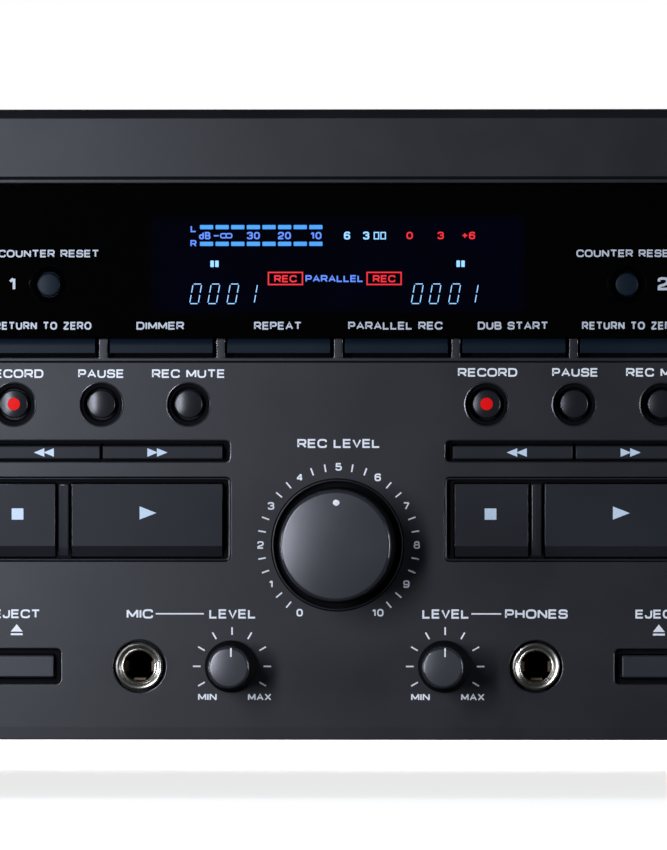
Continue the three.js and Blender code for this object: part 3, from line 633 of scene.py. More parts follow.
def arrow(x, z, length, height, way=1):
    """A triangle that points along +X, or along -X where way is -1."""
    tip = (x + way * length / 2, z)
    base = [(x - way * length / 2, z + height / 2), (x - way * length / 2, z - height / 2)]
    return shape(*([tip] + base)[::way])


def bar_key(node_name, height, edge, radius, z_shift=0.0, paint=key_plastic):
    """A flat key with rounded edges. Its body is named as its node is."""
    key = Span(node_name)
    solid = Solid()
    middle = key.z + z_shift
    path = corners(key.x0, key.x1, middle - height / 2, middle + height / 2)
    solid.loft(rounded(path, radius, 5), round_edge(edge, key.y0, 5) + [(0, FLANGE + 0.1)])
    key_back(solid, key, key.width, height)
    piece(node_name + "_cap", solid, [paint, painted_shade_black], node_name, [node_name])
    return key


def strip_keys():
    """Keys whose faces lean back along the top."""
    for name in STRIP_NAMES:
        key = Span(name)
        low, high, front = key.z - 1.55, key.z + 1.55, key.y0
        lean = bend(front + 1.9, low + 1.35, 1.9, 180, 115, 6)
        section = [(FLANGE + 0.1, low), (front, low)] + lean + [(FLANGE + 0.1, high)]
        solid = Solid()
        solid.prism(section, key.x0, key.x1)
        key_back(solid, key, key.width, 3.1)
        piece(name + "_cap", solid, [strip_plastic, painted_shade_black], name, [name], bevel=0.2)


WIND_DROP = 0.25  # how far the wind keys' caps sit below the middle of their nodes


def wind_keys():
    for number, _ in SIDES:
        for name, way in (("rewind", -1), ("fast_forward", 1)):
            node_name = f"{name}_button_{number}"
            key = bar_key(node_name, 2.75, 0.4, 0.25, -WIND_DROP)
            x = key.x - 0.1 - way * 0.95
            marks = [arrow(x + way * step, key.z - WIND_DROP, 2.2, 1.8, way) for step in (-1.0, 1.0)]
            symbol(node_name, key.y0, *marks)


CHAMFER = 2.2  # height of the chamfer along a stop or play key's lower edge


def transport_key(node_name, mark):
    """A key with a flat face and a wide chamfer along its lower edge."""
    key = Span(node_name)
    solid = Solid()
    high, low, front, foot, back = key.z + 7.6, key.z - 7.6, key.y0, 1.3, FLANGE + 0.1
    section = [(front, low + CHAMFER), (front, high), (back, high), (back, low), (foot, low)]
    solid.prism(section, key.x0, key.x1)
    key_back(solid, key, key.width, high - low)
    paints = [key_plastic, painted_shade_black, key_edge]
    piece(node_name + "_cap", solid, paints, node_name, [node_name], 30, 0.36, bevel_slot=2)
    symbol(node_name, front, mark(key.x, key.z + 1.55))


def stop_mark(x, z):
    return shape(*corners(x - 1.4, x + 1.05, z - 1.4, z + 0.95))


def play_mark(x, z):
    return arrow(x + 0.2, z, 3.5, 2.75)


def transport_keys():
    for number, _ in SIDES:
        transport_key(f"stop_button_{number}", stop_mark)
        transport_key(f"play_button_{number}", play_mark)


def round_key(node_name, r, dome, paint, flange=FLANGE):
    """A push button with a domed face."""
    key = Span(node_name)
    solid = Solid()
    edge, steps = 0.35, 7
    profile = [(k / steps * (r - edge), key.y0 + dome * (k / steps) ** 2) for k in range(steps + 1)]
    profile += [(r + grow, y) for grow, y in round_edge(edge, key.y0 + dome, 4)[1:]]
    profile += [(r, flange), (r + 0.9, flange), (r + 0.9, flange + 1), (1.2, flange + 1)]
    solid.lathe(profile + [(1.2, key.y1), (0, key.y1)], key.x, key.z)
    piece(node_name + "_cap", solid, [paint], node_name, [node_name])
    return key


def round_keys():
    for number, _ in SIDES:
        for name in ROUND_NAMES:
            node_name = f"{name}_button_{number}"
            key = round_key(node_name, 2.95, 0.3, cap_plastic)
            if name == "record":
                dot, y = Solid(), key.y0
                profile = [(0, y - 0.04), (1.28, y + 0.02), (1.34, y + 0.12), (0, y + 0.12)]
                dot.lathe(profile, key.x, key.z, 40)
                piece(node_name + "_dot", dot, [record_red], node_name)
        round_key(f"counter_reset_button_{number}", 2.4, 0.12, strip_plastic, LENS.y1 + GAP)


def eject_keys():
    for number, _ in SIDES:
        bar_key(f"eject_button_{number}", 4.7, 0.45, 0.35, paint=eject_plastic)
    bar_key("power_button", 8, 0.6, 1.0)


SHAFT = 2.9  # radius of a knob's shaft where it goes through the panel


def level_knob(node_name, skirt, waist, fillet, dome, stand):
    """A turned knob: a domed face with a wide fillet, and sides that widen to a skirt that clears the panel
    by stand. The sides and the skirt are painted shade-black."""
    knob = Span(node_name)
    solid = Solid()
    flat, steps = waist - fillet, 10
    profile = [(flat * k / steps, knob.y0 + dome * (k / steps) ** 2) for k in range(steps + 1)]
    edge = knob.y0 + dome
    lean = math.atan(2 * dome / flat)
    for k in range(1, steps + 1):
        a = lean + k / steps * (math.pi / 2 - lean)
        out = math.sin(a) - math.sin(lean)
        profile.append((flat + fillet * out, edge + fillet * (math.cos(lean) - math.cos(a))))
    foot, wide = -stand, skirt - waist
    for share, rise in ((0.3, 1.7), (0.6, 1.4), (0.9, 1.2), (1, 0.9), (1, 0.2)):
        profile.append((waist + wide * share, foot - rise))
    profile += [(skirt - 0.2, foot), (SHAFT, foot), (SHAFT, knob.y1), (0, knob.y1)]
    slots = [0] * steps + [1] * steps + [2]
    solid.lathe(profile, knob.x, knob.z, 128, slots)
    paints = [knob_plastic, knob_edge, painted_shade_black]
    piece(node_name + "_body", solid, paints, node_name, [node_name], crease=40)
    return knob


def knobs():
    waist, fillet, dome, reach = 11.8, 0.85, 0.85, 8.9
    knob = level_knob("record_level_knob", 12.15, waist, fillet, dome, -0.8)
    dot = Solid()
    y = knob.y0 + dome * (reach / (waist - fillet)) ** 2
    profile = [(0, y - 0.12), (0.55, y - 0.1), (0.7, y), (0.71, y + 0.3), (0, y + 0.3)]
    dot.lathe(profile, knob.x + 0.2, knob.z + reach, 32)
    piece("record_level_knob_dot", dot, [label_ink], "record_level_knob")
    for node_name in ("mic_level_knob", "phones_level_knob"):
        knob = level_knob(node_name, 5.45, 4.5, 0.7, 0.3, 0.5)
        mark = Solid()
        y = knob.y0 + 0.1
        mark.bar(knob.x + 0.34, knob.x + 0.7, y - 0.14, y + 0.5, knob.z + 2.2, knob.z + 4.1, 0.05, 0.1)
        piece(node_name + "_mark", mark, [label_ink], node_name)


# ---------------------------------------------------------------- lettering


# Strokes on a grid one wide and one high, after the width of the character. A third number is how far a
# corner is rounded, and a stroke that ends where it starts is closed. "~" is an infinity sign.
GLYPHS = {
    "A": (1.0, [(0, 0), (0.5, 1), (1, 0)], [(0.2, 0.33), (0.8, 0.33)]),
    "B": (0.9, [(0, 0), (0, 1), (0.93, 1, 0.25), (0.93, 0.52, 0.25), (0, 0.52)],
          [(0, 0.52), (1, 0.52, 0.26), (1, 0, 0.26), (0, 0)]),
    "C": (0.95, [(1, 0.7), (1, 1, 0.4), (0, 1, 0.45), (0, 0, 0.45), (1, 0, 0.4), (1, 0.3)]),
    "D": (0.95, [(0, 0), (1, 0, 0.45), (1, 1, 0.45), (0, 1), (0, 0)]),
    "E": (0.82, [(1, 1), (0, 1), (0, 0), (1, 0)], [(0, 0.52), (0.93, 0.52)]),
    "H": (0.9, [(0, 0), (0, 1)], [(1, 0), (1, 1)], [(0, 0.52), (1, 0.52)]),
    "I": (0.0, [(0, 0), (0, 1)]),
    "J": (0.7, [(1, 1), (1, 0, 0.35), (0, 0, 0.35), (0, 0.35)]),
    "L": (0.78, [(0, 1), (0, 0), (1, 0)]),
    "M": (1.1, [(0, 0), (0, 1)], [(0, 1), (0.5, 0.15)], [(0.5, 0.15), (1, 1)], [(1, 1), (1, 0)]),
    "N": (0.92, [(0, 0), (0, 1)], [(0, 1), (1, 0)], [(1, 0), (1, 1)]),
    "O": (1.05, [(0, 0, 0.45), (1, 0, 0.45), (1, 1, 0.45), (0, 1, 0.45), (0, 0, 0.45)]),
    "P": (0.85, [(0, 0), (0, 1), (1, 1, 0.27), (1, 0.44, 0.27), (0, 0.44)]),
    "R": (0.92, [(0, 0), (0, 1), (0.97, 1, 0.27), (0.97, 0.44, 0.27), (0, 0.44)], [(0.55, 0.44), (1, 0)]),
    "S": (0.9, [(0.97, 0.72), (0.97, 1, 0.3), (0.03, 1, 0.3), (0.03, 0.52, 0.25),
                (1, 0.52, 0.25), (1, 0, 0.3), (0, 0, 0.3), (0, 0.28)]),
    "T": (0.92, [(0, 1), (1, 1)], [(0.5, 1), (0.5, 0)]),
    "U": (0.92, [(0, 1), (0, 0, 0.42), (1, 0, 0.42), (1, 1)]),
    "V": (0.86, [(0, 1), (0.5, 0), (1, 1)]),
    "W": (1.35, [(0, 1), (0.25, 0)], [(0.25, 0), (0.5, 1)], [(0.5, 1), (0.75, 0)], [(0.75, 0), (1, 1)]),
    "X": (0.95, [(0, 0), (1, 1)], [(0, 1), (1, 0)]),
    "Z": (0.9, [(0, 1), (1, 1)], [(1, 1), (0, 0)], [(0, 0), (1, 0)]),
    "d": (0.75, [(1, 1), (1, 0)], [(0, 0, 0.3), (1, 0, 0.2), (1, 0.62, 0.2), (0, 0.62, 0.3), (0, 0, 0.3)]),
    "0": (0.75, [(0, 0, 0.4), (1, 0, 0.4), (1, 1, 0.4), (0, 1, 0.4), (0, 0, 0.4)]),
    "1": (0.4, [(0, 0.74), (0.7, 1)], [(0.85, 1), (0.85, 0)]),
    "2": (0.75, [(0, 0.7), (0, 1, 0.35), (1, 1, 0.35), (1, 0.5, 0.3), (0, 0.25, 0.1), (0, 0), (1, 0)]),
    "3": (0.75, [(0, 0.76), (0, 1, 0.3), (0.97, 1, 0.3), (0.97, 0.53, 0.22), (0.35, 0.53)],
          [(0.35, 0.53), (1, 0.53, 0.24), (1, 0, 0.3), (0, 0, 0.3), (0, 0.24)]),
    "4": (0.8, [(0.75, 0), (0.75, 1)], [(0.75, 1), (0, 0.27)], [(0, 0.27), (1, 0.27)]),
    "5": (0.75, [(0.95, 1), (0.08, 1), (0.03, 0.58), (1, 0.6, 0.3), (1, 0, 0.35), (0, 0, 0.3), (0, 0.24)]),
    "6": (0.75, [(0, 0, 0.3), (1, 0, 0.3), (1, 0.58, 0.3), (0, 0.58, 0.25), (0, 0, 0.3)],
          [(0, 0.3), (0, 1, 0.42), (0.97, 1, 0.25), (0.97, 0.78)]),
    "7": (0.75, [(0, 1), (1, 1)], [(1, 1), (0.35, 0)]),
    "8": (0.75, [(0, 0, 0.3), (1, 0, 0.3), (1, 0.53, 0.25), (0, 0.53, 0.25), (0, 0, 0.3)],
          [(0.08, 0.53, 0.2), (0.92, 0.53, 0.2), (0.92, 1, 0.25), (0.08, 1, 0.25), (0.08, 0.53, 0.2)]),
    "9": (0.75, [(0, 0.42, 0.25), (1, 0.42, 0.25), (1, 1, 0.3), (0, 1, 0.3), (0, 0.42, 0.25)],
          [(1, 0.7), (1, 0, 0.42), (0.03, 0, 0.25), (0.03, 0.22)]),
    "+": (0.75, [(0, 0.5), (1, 0.5)], [(0.5, 0.14), (0.5, 0.86)]),
    "~": (1.3, [(0.5, 0.5), (0.5, 0.22, 0.2), (0, 0.22, 0.25), (0, 0.78, 0.25), (0.5, 0.78, 0.2), (0.5, 0.5)],
          [(0.5, 0.5), (0.5, 0.22, 0.2), (1, 0.22, 0.25), (1, 0.78, 0.25), (0.5, 0.78, 0.2), (0.5, 0.5)]),
}


def soften(points, scale_x, scale_z):
    """A stroke in millimetres, with its corners rounded."""
    spots = [Vector((p[0] * scale_x, p[1] * scale_z)) for p in points]
    closed = spots[0] == spots[-1]
    last = len(spots) - 1
    path = []
    for i in range(last if closed else last + 1):
        reach = points[i][2] * scale_z if len(points[i]) > 2 else 0
        if not reach:
            path.append(spots[i])
            continue
        before, after = spots[i - 1] if i else spots[last - 1], spots[i + 1]
        arms = []
        for other in (before, after):
            arm = other - spots[i]
            arms.append(spots[i] + arm * min(reach / arm.length, 0.5))
        for k in range(5):
            t = k / 4
            path.append(arms[0] * (1 - t) ** 2 + spots[i] * 2 * t * (1 - t) + arms[1] * t * t)
    near = 0.005
    clean = [p for i, p in enumerate(path) if i == 0 or (p - path[i - 1]).length > near]
    if closed and (clean[0] - clean[-1]).length < near:
        clean.pop()
    return clean, closed


def sides(path, closed, half):
    """The two sides of a stroke, mitred at its corners."""
    left, right = [], []
    blunt = 0.35  # keeps the mitre of a sharp corner short
    for i, here in enumerate(path):
        before = path[i - 1] if i or closed else None
        after = path[(i + 1) % len(path)] if i < len(path) - 1 or closed else None
        arms = ((before, here), (here, after))
        ways = [(b - a).normalized() for a, b in arms if a is not None and b is not None]
        across = [Vector((-way.y, way.x)) for way in ways]
        middle = sum(across, Vector((0, 0))) / len(across)
        offset = middle / max(middle.length_squared, blunt) * half
        left.append(tuple(here + offset))
        right.append(tuple(here - offset))
    return left, right


class Print:
    """Lettering and marks in one ink on one body, printed on a face at y."""

    STEP = 0.0015

    def __init__(self, y=0.0, thickness=INK, turn=Matrix.Identity(4)):
        self.solid = Solid(turn)
        self.y = y
        self.thickness = thickness
        self.count = 0

    def depths(self):
        """Each stroke stands a little further out than the last, so that two never share a face."""
        self.count += 1
        rise = self.thickness + self.STEP * (self.count % 7)
        return [(0, self.y - rise), (0, self.y + rise)]

    def mark(self, outline):
        self.solid.loft(outline, self.depths())

    def frame(self, outer, inner):
        """A printed frame between two outlines."""
        depths = self.depths()
        self.solid.pierced((outer, depths), (inner, depths))

    def box(self, x, z, width, height, wide):
        """A printed rectangle of lines, centred on x and z."""
        a, b = width / 2, height / 2
        outer = corners(x - a, x + a, z - b, z + b)
        inner = corners(x - a + wide, x + a - wide, z - b + wide, z + b - wide)
        self.frame(shape(*outer), shape(*inner))

    def line(self, x0, z0, x1, z1, wide):
        self.stroke([Vector((x0, z0)), Vector((x1, z1))], False, wide)

    def stroke(self, path, closed, wide):
        left, right = sides(path, closed, wide / 2)
        if closed:
            self.frame(shape(*left), shape(*right))
        else:
            self.mark(shape(*left, *right[::-1]))

    def text(self, words, x, z, cap, width=None, weight=0.2):
        """words centred on x with their feet at z. cap is a capital's height, width the whole line's."""
        wide, gap, space = cap * weight, cap * 0.13, cap * 0.5
        glyphs = [GLYPHS.get(letter) for letter in words]
        fixed = sum(wide if glyph else space for glyph in glyphs) + gap * (len(words) - 1)
        grown = sum(glyph[0] for glyph in glyphs if glyph)
        scale = (width - fixed) / grown if width and grown else cap * 0.85
        left = x - (fixed + grown * scale) / 2 + wide / 2
        for glyph in glyphs:
            if glyph is None:
                left += space + gap
                continue
            for points in glyph[1:]:
                path, closed = soften(points, max(glyph[0] * scale, 1e-3), cap - wide)
                base = Vector((left, z + wide / 2))
                self.stroke([base + p for p in path], closed, wide)
            left += glyph[0] * scale + wide + gap

    def done(self, name, paint, slot, body=CASE):
        piece(name, self.solid, [paint], body, crease=20)


def around(knob, r, degrees):
    """The point at r from a knob's axis, turned clockwise from the top."""
    a = math.radians(degrees)
    return knob.x + r * math.sin(a), knob.z + r * math.cos(a)


def tick_mark(ink, knob, r0, r1, degrees, shift, wide):
    """A line of a knob's scale, from r0 to r1. The scales sit a little to the right of their knobs."""
    (x0, z0), (x1, z1) = (around(knob, r, degrees) for r in (r0, r1))
    ink.line(x0 + shift, z0, x1 + shift, z1, wide)


def panel_lettering():
    ink = Print()
    round_row, eject_row, level_row, low_row, scale_shift = 75.75, 25.45, 25.4, 8.25, 0.25
    for number, _ in SIDES:
        right, up = (0.2, 0.25) if number == 2 else (0, 0)
        for name, words, width in (
            ("record", "RECORD", 12.4),
            ("pause", "PAUSE", 9.6),
            ("record_mute", "REC MUTE", 15.3),
        ):
            key = Span(f"{name}_button_{number}")
            ink.text(words, key.x + right, round_row + up, 1.8, width)
        x = Span(f"eject_button_{number}").x
        ink.text("EJECT", x, eject_row, 1.85, 9.8)
        ink.mark(shape((x - 1.25, 22.65), (x + 1.25, 22.65), (x, 24.2)))
        ink.line(x - 1.25, 22.1, x + 1.25, 22.1, 0.4)
    ink.text("REC LEVEL", REC.x + scale_shift, 61.1, 1.87, 17.3)
    ink.text("POWER", Span("power_button").x, 22.6, 1.8, 11.2)
    for value in range(11):
        degrees = (value - 5) * 30
        x, z = around(REC, 16.35, degrees)
        ink.text(str(value), x + scale_shift, z - 0.8, 1.6)
        for step in (10, 20) if value < 10 else ():
            tick_mark(ink, REC, 15.5, 17.1, degrees + step, scale_shift, 0.31)
    for knob, jack, words, width in zip(SMALL_KNOBS, JACKS, ("MIC", "PHONES"), (5.5, 13.1)):
        for tick in range(-4, 5):
            tick_mark(ink, knob, 6.6, 8.2, tick * 30, 0.22, 0.32)
        ink.text("MIN", knob.x - 4.95, low_row, 1.5, 3.9)
        ink.text("MAX", knob.x + 6.0, low_row, 1.5, 4.9)
        ink.text("LEVEL", knob.x + 0.35, level_row, 1.95, 9.8)
        ink.text(words, jack.x + 0.1, level_row, 1.95, width)
        side, z = 1 if jack.x > knob.x else -1, level_row + 1
        ink.line(knob.x + side * 5.7, z, jack.x - side * (width / 2 + 0.7), z, 0.3)
    ink.done("panel_lettering", label_ink, "panel")


def lens_lettering():
    ink = Print()
    words = ("RETURN TO ZERO", "DIMMER", "REPEAT", "PARALLEL REC", "DUB START", "RETURN TO ZERO")
    widths = (20.3, 10.0, 9.9, 19.7, 14.7, 20.3)
    for name, label, width in zip(STRIP_NAMES, words, widths):
        ink.text(label, Span(name).x - 0.2, 85.85, 1.65, width)
    for number, sign in SIDES:
        button = Span(f"counter_reset_button_{number}")
        ink.text("COUNTER RESET", button.x, 101.0, 1.57, 21.1)
        ink.text(str(number), button.x + sign * 7.6, button.z - 1.25, 2.75)
    ink.done("lens_lettering", lens_ink, "lens")


SEGMENT_ENDS = {
    "top": ((0.08, 1), (0.92, 1)),
    "bottom": ((0.08, 0), (0.92, 0)),
    "left_high": ((0, 0.94), (0, 0.56)),
    "left_low": ((0, 0.44), (0, 0.06)),
    "right_high": ((1, 0.94), (1, 0.56)),
    "right_low": ((1, 0.44), (1, 0.06)),
}
DIGITS = {"0": tuple(SEGMENT_ENDS), "1": ("right_high", "right_low")}


def counter_digit(ink, x, z, figure):
    """A slanted seven-segment figure centred on x and z."""
    wide, high, slant, stroke = 1.8, 4.1, 0.18, 0.19
    for name in DIGITS[figure]:
        spots = [(u - 0.5, v - 0.5) for u, v in SEGMENT_ENDS[name]]
        (x0, z0), (x1, z1) = ((x + u * wide + v * high * slant, z + v * high) for u, v in spots)
        ink.line(x0, z0, x1, z1, stroke)


def display():
    """The lit display: level bars, scale, pause marks, record boxes and two tape counters."""
    bars, digits, blues, reds = (Print(0.0, 0.02) for _ in range(4))
    scale_row, mode_row, counter_row, cap = 104.75, 95.75, 93.35, 1.55
    for k in range(8):
        x = -28.8 + 3.27 * k
        for z in (103.8, 107.3):
            bars.mark(rounded(corners(x, x + 2.76, z - 0.44, z + 0.44), 0.12, 2))
    blues.text("L", -30.15, 106.25, 1.4, 1.2)
    blues.text("R", -30.15, 103.2, 1.4, 1.3)
    for words, x, width in (("dB", -27.8, 2.4), ("30", -17.6, 2.7), ("20", -11.1, 2.7), ("10", -4.5, 2.3)):
        blues.text(words, x, scale_row, cap, width)
    blues.line(-25.9, 105.5, -24.9, 105.5, 0.28)
    blues.text("~", -23.3, 104.6, 1.8, 2.6, 0.15)
    for words, x in (("6", 2.0), ("3", 6.0)):
        digits.text(words, x, 104.7, 1.65, 1.3)
    for x in (8.15, 9.55):
        digits.box(x, 105.5, 1.15, 1.55, 0.22)
    for words, x, width in (("0", 15.1, 1.35), ("3", 21.6, 1.3), ("+6", 27.4, 2.8)):
        reds.text(words, x, scale_row, cap, width)
    for sign in (-1, 1):
        for step in (-0.5, 0.5):
            x = sign * 25.75 + step
            digits.mark(rounded(corners(x - 0.36, x + 0.36, 98.95, 100.3), 0.1, 2))
    for x in (-10.9, 9.75):
        reds.box(x, 96.55, 7.4, 2.8, 0.28)
        reds.text("REC", x, mode_row, 1.5, 4.7)
    blues.text("PARALLEL", -0.65, mode_row + 0.05, 1.45, 12.1)
    for spots in ((-29.7, -25.9, -21.9, -18.0), (16.7, 20.4, 24.5, 28.2)):
        for x, figure in zip(spots, "0001"):
            counter_digit(digits, x, counter_row, figure)
    bars.done("display_bars", blue_segment, "lens")
    digits.done("display_digits", digit_segment, "lens")
    blues.done("display_words", label_segment, "lens")
    reds.done("display_marks", red_segment, "lens")


# ---------------------------------------------------------------- sockets


def jack_sockets():
    lip = [(3.2, 0.6), (3.3, 0.4), (3.45, 0.32), (3.6, 0.42), (3.7, 0.45), (4.0, 0.22), (4.3, 0.06)]
    lip += [(4.55, 0), (4.78, 0.1), (4.95, 0.4)]
    for node_name in ("mic_jack", "phones_jack"):
        jack = Span(node_name)
        solid = Solid()
        bush = [(3.2, 8)] + [(r, jack.y0 + y) for r, y in lip] + [(4.95, 8), (3.2, 8)]
        solid.lathe(bush, jack.x, jack.z, 96)
        piece(node_name + "_bush", solid, [nickel], CASE, [node_name])
        body = Solid()
        hole = circle(jack.x, jack.z, 3.18, 40)
        outline = rounded(corners(jack.x0, jack.x1, jack.z0, jack.z1), 0.6, 3)
        front_ring, back_ring = body.walls(outline, round_edge(0.3, FLANGE) + [(0, jack.y1)])
        # the bore's wall and end are painted shade-black
        mouth, end = body.walls(hole, [(0, FLANGE), (0, jack.y1 - 2)], (1,))
        body.fill([front_ring, mouth])
        body.fill([end], 1)
        body.fill([back_ring])
        piece(node_name + "_body", body, [moulded_black, painted_shade_black], CASE)
        springs = Solid()
        for sign in (-1, 1):
            x = jack.x + sign * 2.75
            springs.bar(x - 0.35, x + 0.35, 2.2, 14, jack.z - 1.1, jack.z + 1.1, 0.15, 0.1)
        springs.bar(jack.x - 1.3, jack.x + 1.3, 2.6, 14, jack.z - 3.0, jack.z - 2.4, 0.15, 0.1)
        piece(node_name + "_contacts", springs, [iron], CASE)


front_panel()
display_lens()
strip_keys()
wind_keys()
transport_keys()
round_keys()
eject_keys()
knobs()
panel_lettering()
lens_lettering()
display()
jack_sockets()

# ---------------------------------------------------------------- cassette doors

HINGE_Y, HINGE_Z = 4.5, 31.5  # the doors' pins
WINDOW = Span("door_window_2")


def cassette_door(number, x):
    """A moulded leaf with a barrel along its foot, a window opening and the walls of the pocket."""
    node_name = f"cassette_door_{number}"
    x0, x1, top, thick, barrel = x - 62.2, x + 62.2, 114.7, 3.2, 4.5
    solid = Solid()
    outline = rounded(corners(x0, x1, HINGE_Z + 1, top), 0.9, 4)
    leaf = round_edge(0.35, 0, 4) + [(0, thick - 0.2), (-0.2, thick)]
    half, low, high = WINDOW.width / 2 + GAP, WINDOW.z0 - GAP, WINDOW.z1 + GAP
    hole = rounded(corners(x - half, x + half, low, high), 1.0, 4)
    step = WINDOW.y1 + GAP
    profile = [(1.6, 0), (1.45, 0.05), (0.2, 0.35), (0.06, 0.42), (0, 0.55)]
    profile += [(0, step), (-2, step), (-2, thick)]
    solid.pierced((outline, leaf), (hole, profile))
    foot = [(thick, HINGE_Z + 3), (0.02, HINGE_Z + 3)] + bend(HINGE_Y, HINGE_Z, barrel - 0.02, 180, 360, 14)
    foot += bend(HINGE_Y, HINGE_Z, barrel - 0.02, 15, 60, 4)
    solid.prism(foot, x0 + 0.15, x1 - 0.15)
    inside = thick - 0.1
    for side in (-1, 1):
        tip, root = x + side * 65.2, x + side * 62
        solid.prism(circle(HINGE_Y, HINGE_Z, 1.5, 24)(), min(tip, root), max(tip, root))
        for near, y0, z0, z1 in ((50.8, inside, 34, 100), (46.3, 14.5, 44, 100), (38, inside, 35.4, 37.7)):
            a, b = sorted((x + side * near, x + side * 53.8))
            solid.bar(a, b, y0, 16, z0, z1, 0.2, 0.25)
    piece(node_name + "_leaf", solid, [door_paint], node_name, [node_name], crease=30)
    springs = Solid()
    for strip in (x - 28, x + 28):
        springs.bar(strip - 3, strip + 3, thick + 0.2, thick + 0.6, 52, 92, 0.1, 1.2)
    piece(node_name + "_springs", springs, [nickel], node_name)

    pane = Solid()
    outline = rounded(corners(x - WINDOW.width / 2, x + WINDOW.width / 2, WINDOW.z0, WINDOW.z1), 0.8, 4)
    pane.loft(outline, round_edge(0.3, WINDOW.y0, 4) + [(0, WINDOW.y1)])
    piece(node_name + "_window", pane, [window_gloss], node_name, [f"door_window_{number}"])
    window_marks(node_name, x)


def window_marks(body, x):
    """A scale for the tape that is left, in a thin frame."""
    ink = Print(WINDOW.y0)
    half, top = 10, 64.6
    for step in range(11):
        at, tall = x - half + 2 * step, 2.4 if step % 5 == 0 else 1.4
        ink.line(at, top - tall, at, top, 0.2)
    for value, at in (("100", -half), ("50", 0), ("0", half)):
        ink.text(value, x + at, 59.9, 1.5)
    outer, inner = corners(x - 26, x + 26, 57.5, 86.5), corners(x - 25.75, x + 25.75, 57.75, 86.25)
    ink.frame(rounded(outer, 2), rounded(inner, 1.75))
    ink.done(body + "_marks", label_ink, "window", body)


# ---------------------------------------------------------------- tape mechanism


def gear(x, z, r, teeth, depth):
    """The outline of a spur gear."""

    def outline(grow=0.0):
        points = []
        for k in range(teeth):
            for share, reach in ((0.0, r - depth), (0.2, r - depth), (0.4, r), (0.75, r)):
                a = (k + share) / teeth * math.tau
                points.append((x + (reach + grow) * math.cos(a), z + (reach + grow) * math.sin(a)))
        return points

    return outline


def reel_spindle(node_name):
    part = Span(node_name)
    x, z, y0 = part.x, part.z, part.y0
    collar, rear = 17.5, part.y1
    solid = Solid()
    profile = [(0, y0), (0.8, y0 + 0.05), (1.5, y0 + 0.3), (2.6, y0 + 1.6), (3.1, y0 + 2.4), (3.3, y0 + 3.2)]
    profile += [(3.3, collar), (6.1, collar), (6.4, collar + 0.1), (6.5, collar + 0.4)]
    profile += [(6.5, 19.7), (2.2, 19.7), (2.2, rear), (0, rear)]
    solid.lathe(profile, x, z, 64)
    for degrees in (90, 210, 330):
        solid.turn = Matrix.Translation((x, 0, z)) @ Matrix.Rotation(math.radians(degrees), 4, "Y")
        solid.bar(2.6, 4.5, y0 + 2.5, collar + 0.1, -0.6, 0.6, 0.35, 0.2)
    solid.turn = Matrix.Identity(4)
    reach = min(part.z1 - z, part.x1 - x)
    solid.loft(gear(x, z, reach, 46, 0.9), [(-0.2, 21.8), (0, 22), (0, rear - 0.2), (-0.2, rear)])
    piece(node_name + "_hub", solid, [spindle_plastic], node_name, [node_name])


def capstan(node_name):
    part = Span(node_name)
    x, z, y0, y1 = part.x, part.z, part.y0, part.y1
    shaft = Solid()
    shaft.lathe([(0, y0), (1.0, y0), (1.15, y0 + 0.1), (1.2, y0 + 0.3), (1.2, 26), (0, 26)], x, z, 40)
    piece(node_name + "_shaft", shaft, [nickel], node_name)
    wheel = Solid()
    profile = [(1.15, 25), (4, 25), (4, 27), (9, 27.6), (21, 27.6), (21.6, 27), (21.8, 26.2), (22, 26)]
    profile += [(23.7, 26), (24, 26.3), (24, 31.7), (23.7, 32), (20.5, 32), (20, 31), (9, 31), (8, 31.5)]
    profile += [(4, 32), (4, y1), (1.15, y1), (1.15, 25)]
    wheel.lathe(profile, x, z, 128)
    piece(node_name + "_wheel", wheel, [brass], node_name, [node_name])


def pinch_roller(node_name):
    part = Span(node_name)
    x, z, y0, y1 = part.x, part.z, part.y0, part.y1
    solid = Solid()
    profile = [(1.5, y0 + 0.3), (3.0, y0 + 0.3), (3.1, y0 + 0.1), (3.3, y0), (5.2, y0), (5.42, y0 + 0.1)]
    profile += [(5.5, y0 + 0.3), (5.5, y1 - 0.3), (5.4, y1 - 0.1), (5.2, y1), (1.5, y1), (1.5, y0 + 0.3)]
    solid.lathe(profile, x, z, 72, (1, 1, 0))
    piece(node_name + "_tyre", solid, [rubber, spindle_plastic], node_name, [node_name])


def tape_head(number, x):
    """The record and playback head's polished shell, with the tape guides beside it."""
    body = f"head_base_{number}"
    base = Span(body)
    top = base.z1
    shell = Solid()
    section = [(10.5, 29.5), (10.5, top - 0.6)] + bend(14.1, top - 3.4, 3.6, 165, 15, 10) + [(17.7, 29.5)]
    shell.prism(section, x - 7.2, x + 7.2)
    piece(body + "_head", shell, [nickel], body, bevel=0.3)
    guides = Solid()
    for side in (-1, 1):
        post = x + side * 9.8
        for z0, z1 in ((top - 5.5, top - 4.6), (top - 1.4, top - 0.5)):
            guides.bar(post - 1.1, post + 1.1, 10, 18, z0, z1, 0.2, 0.2)
        guides.bar(post - 0.9, post + 0.9, 15.5, 18.4, top - 9, top - 0.8, 0.2, 0.2)
    piece(body + "_guides", guides, [spindle_plastic], body)


# ---------------------------------------------------------------- case


def cross(x, z, size):
    """The outline of a cross recess."""
    a, b = size, size * 0.3
    path = [(-b, -a), (b, -a), (b, -b), (a, -b), (a, b), (b, b)]
    path += [(-u, -v) for u, v in path]
    return rounded([(x + u, z + v) for u, v in path], size * 0.12, 2)


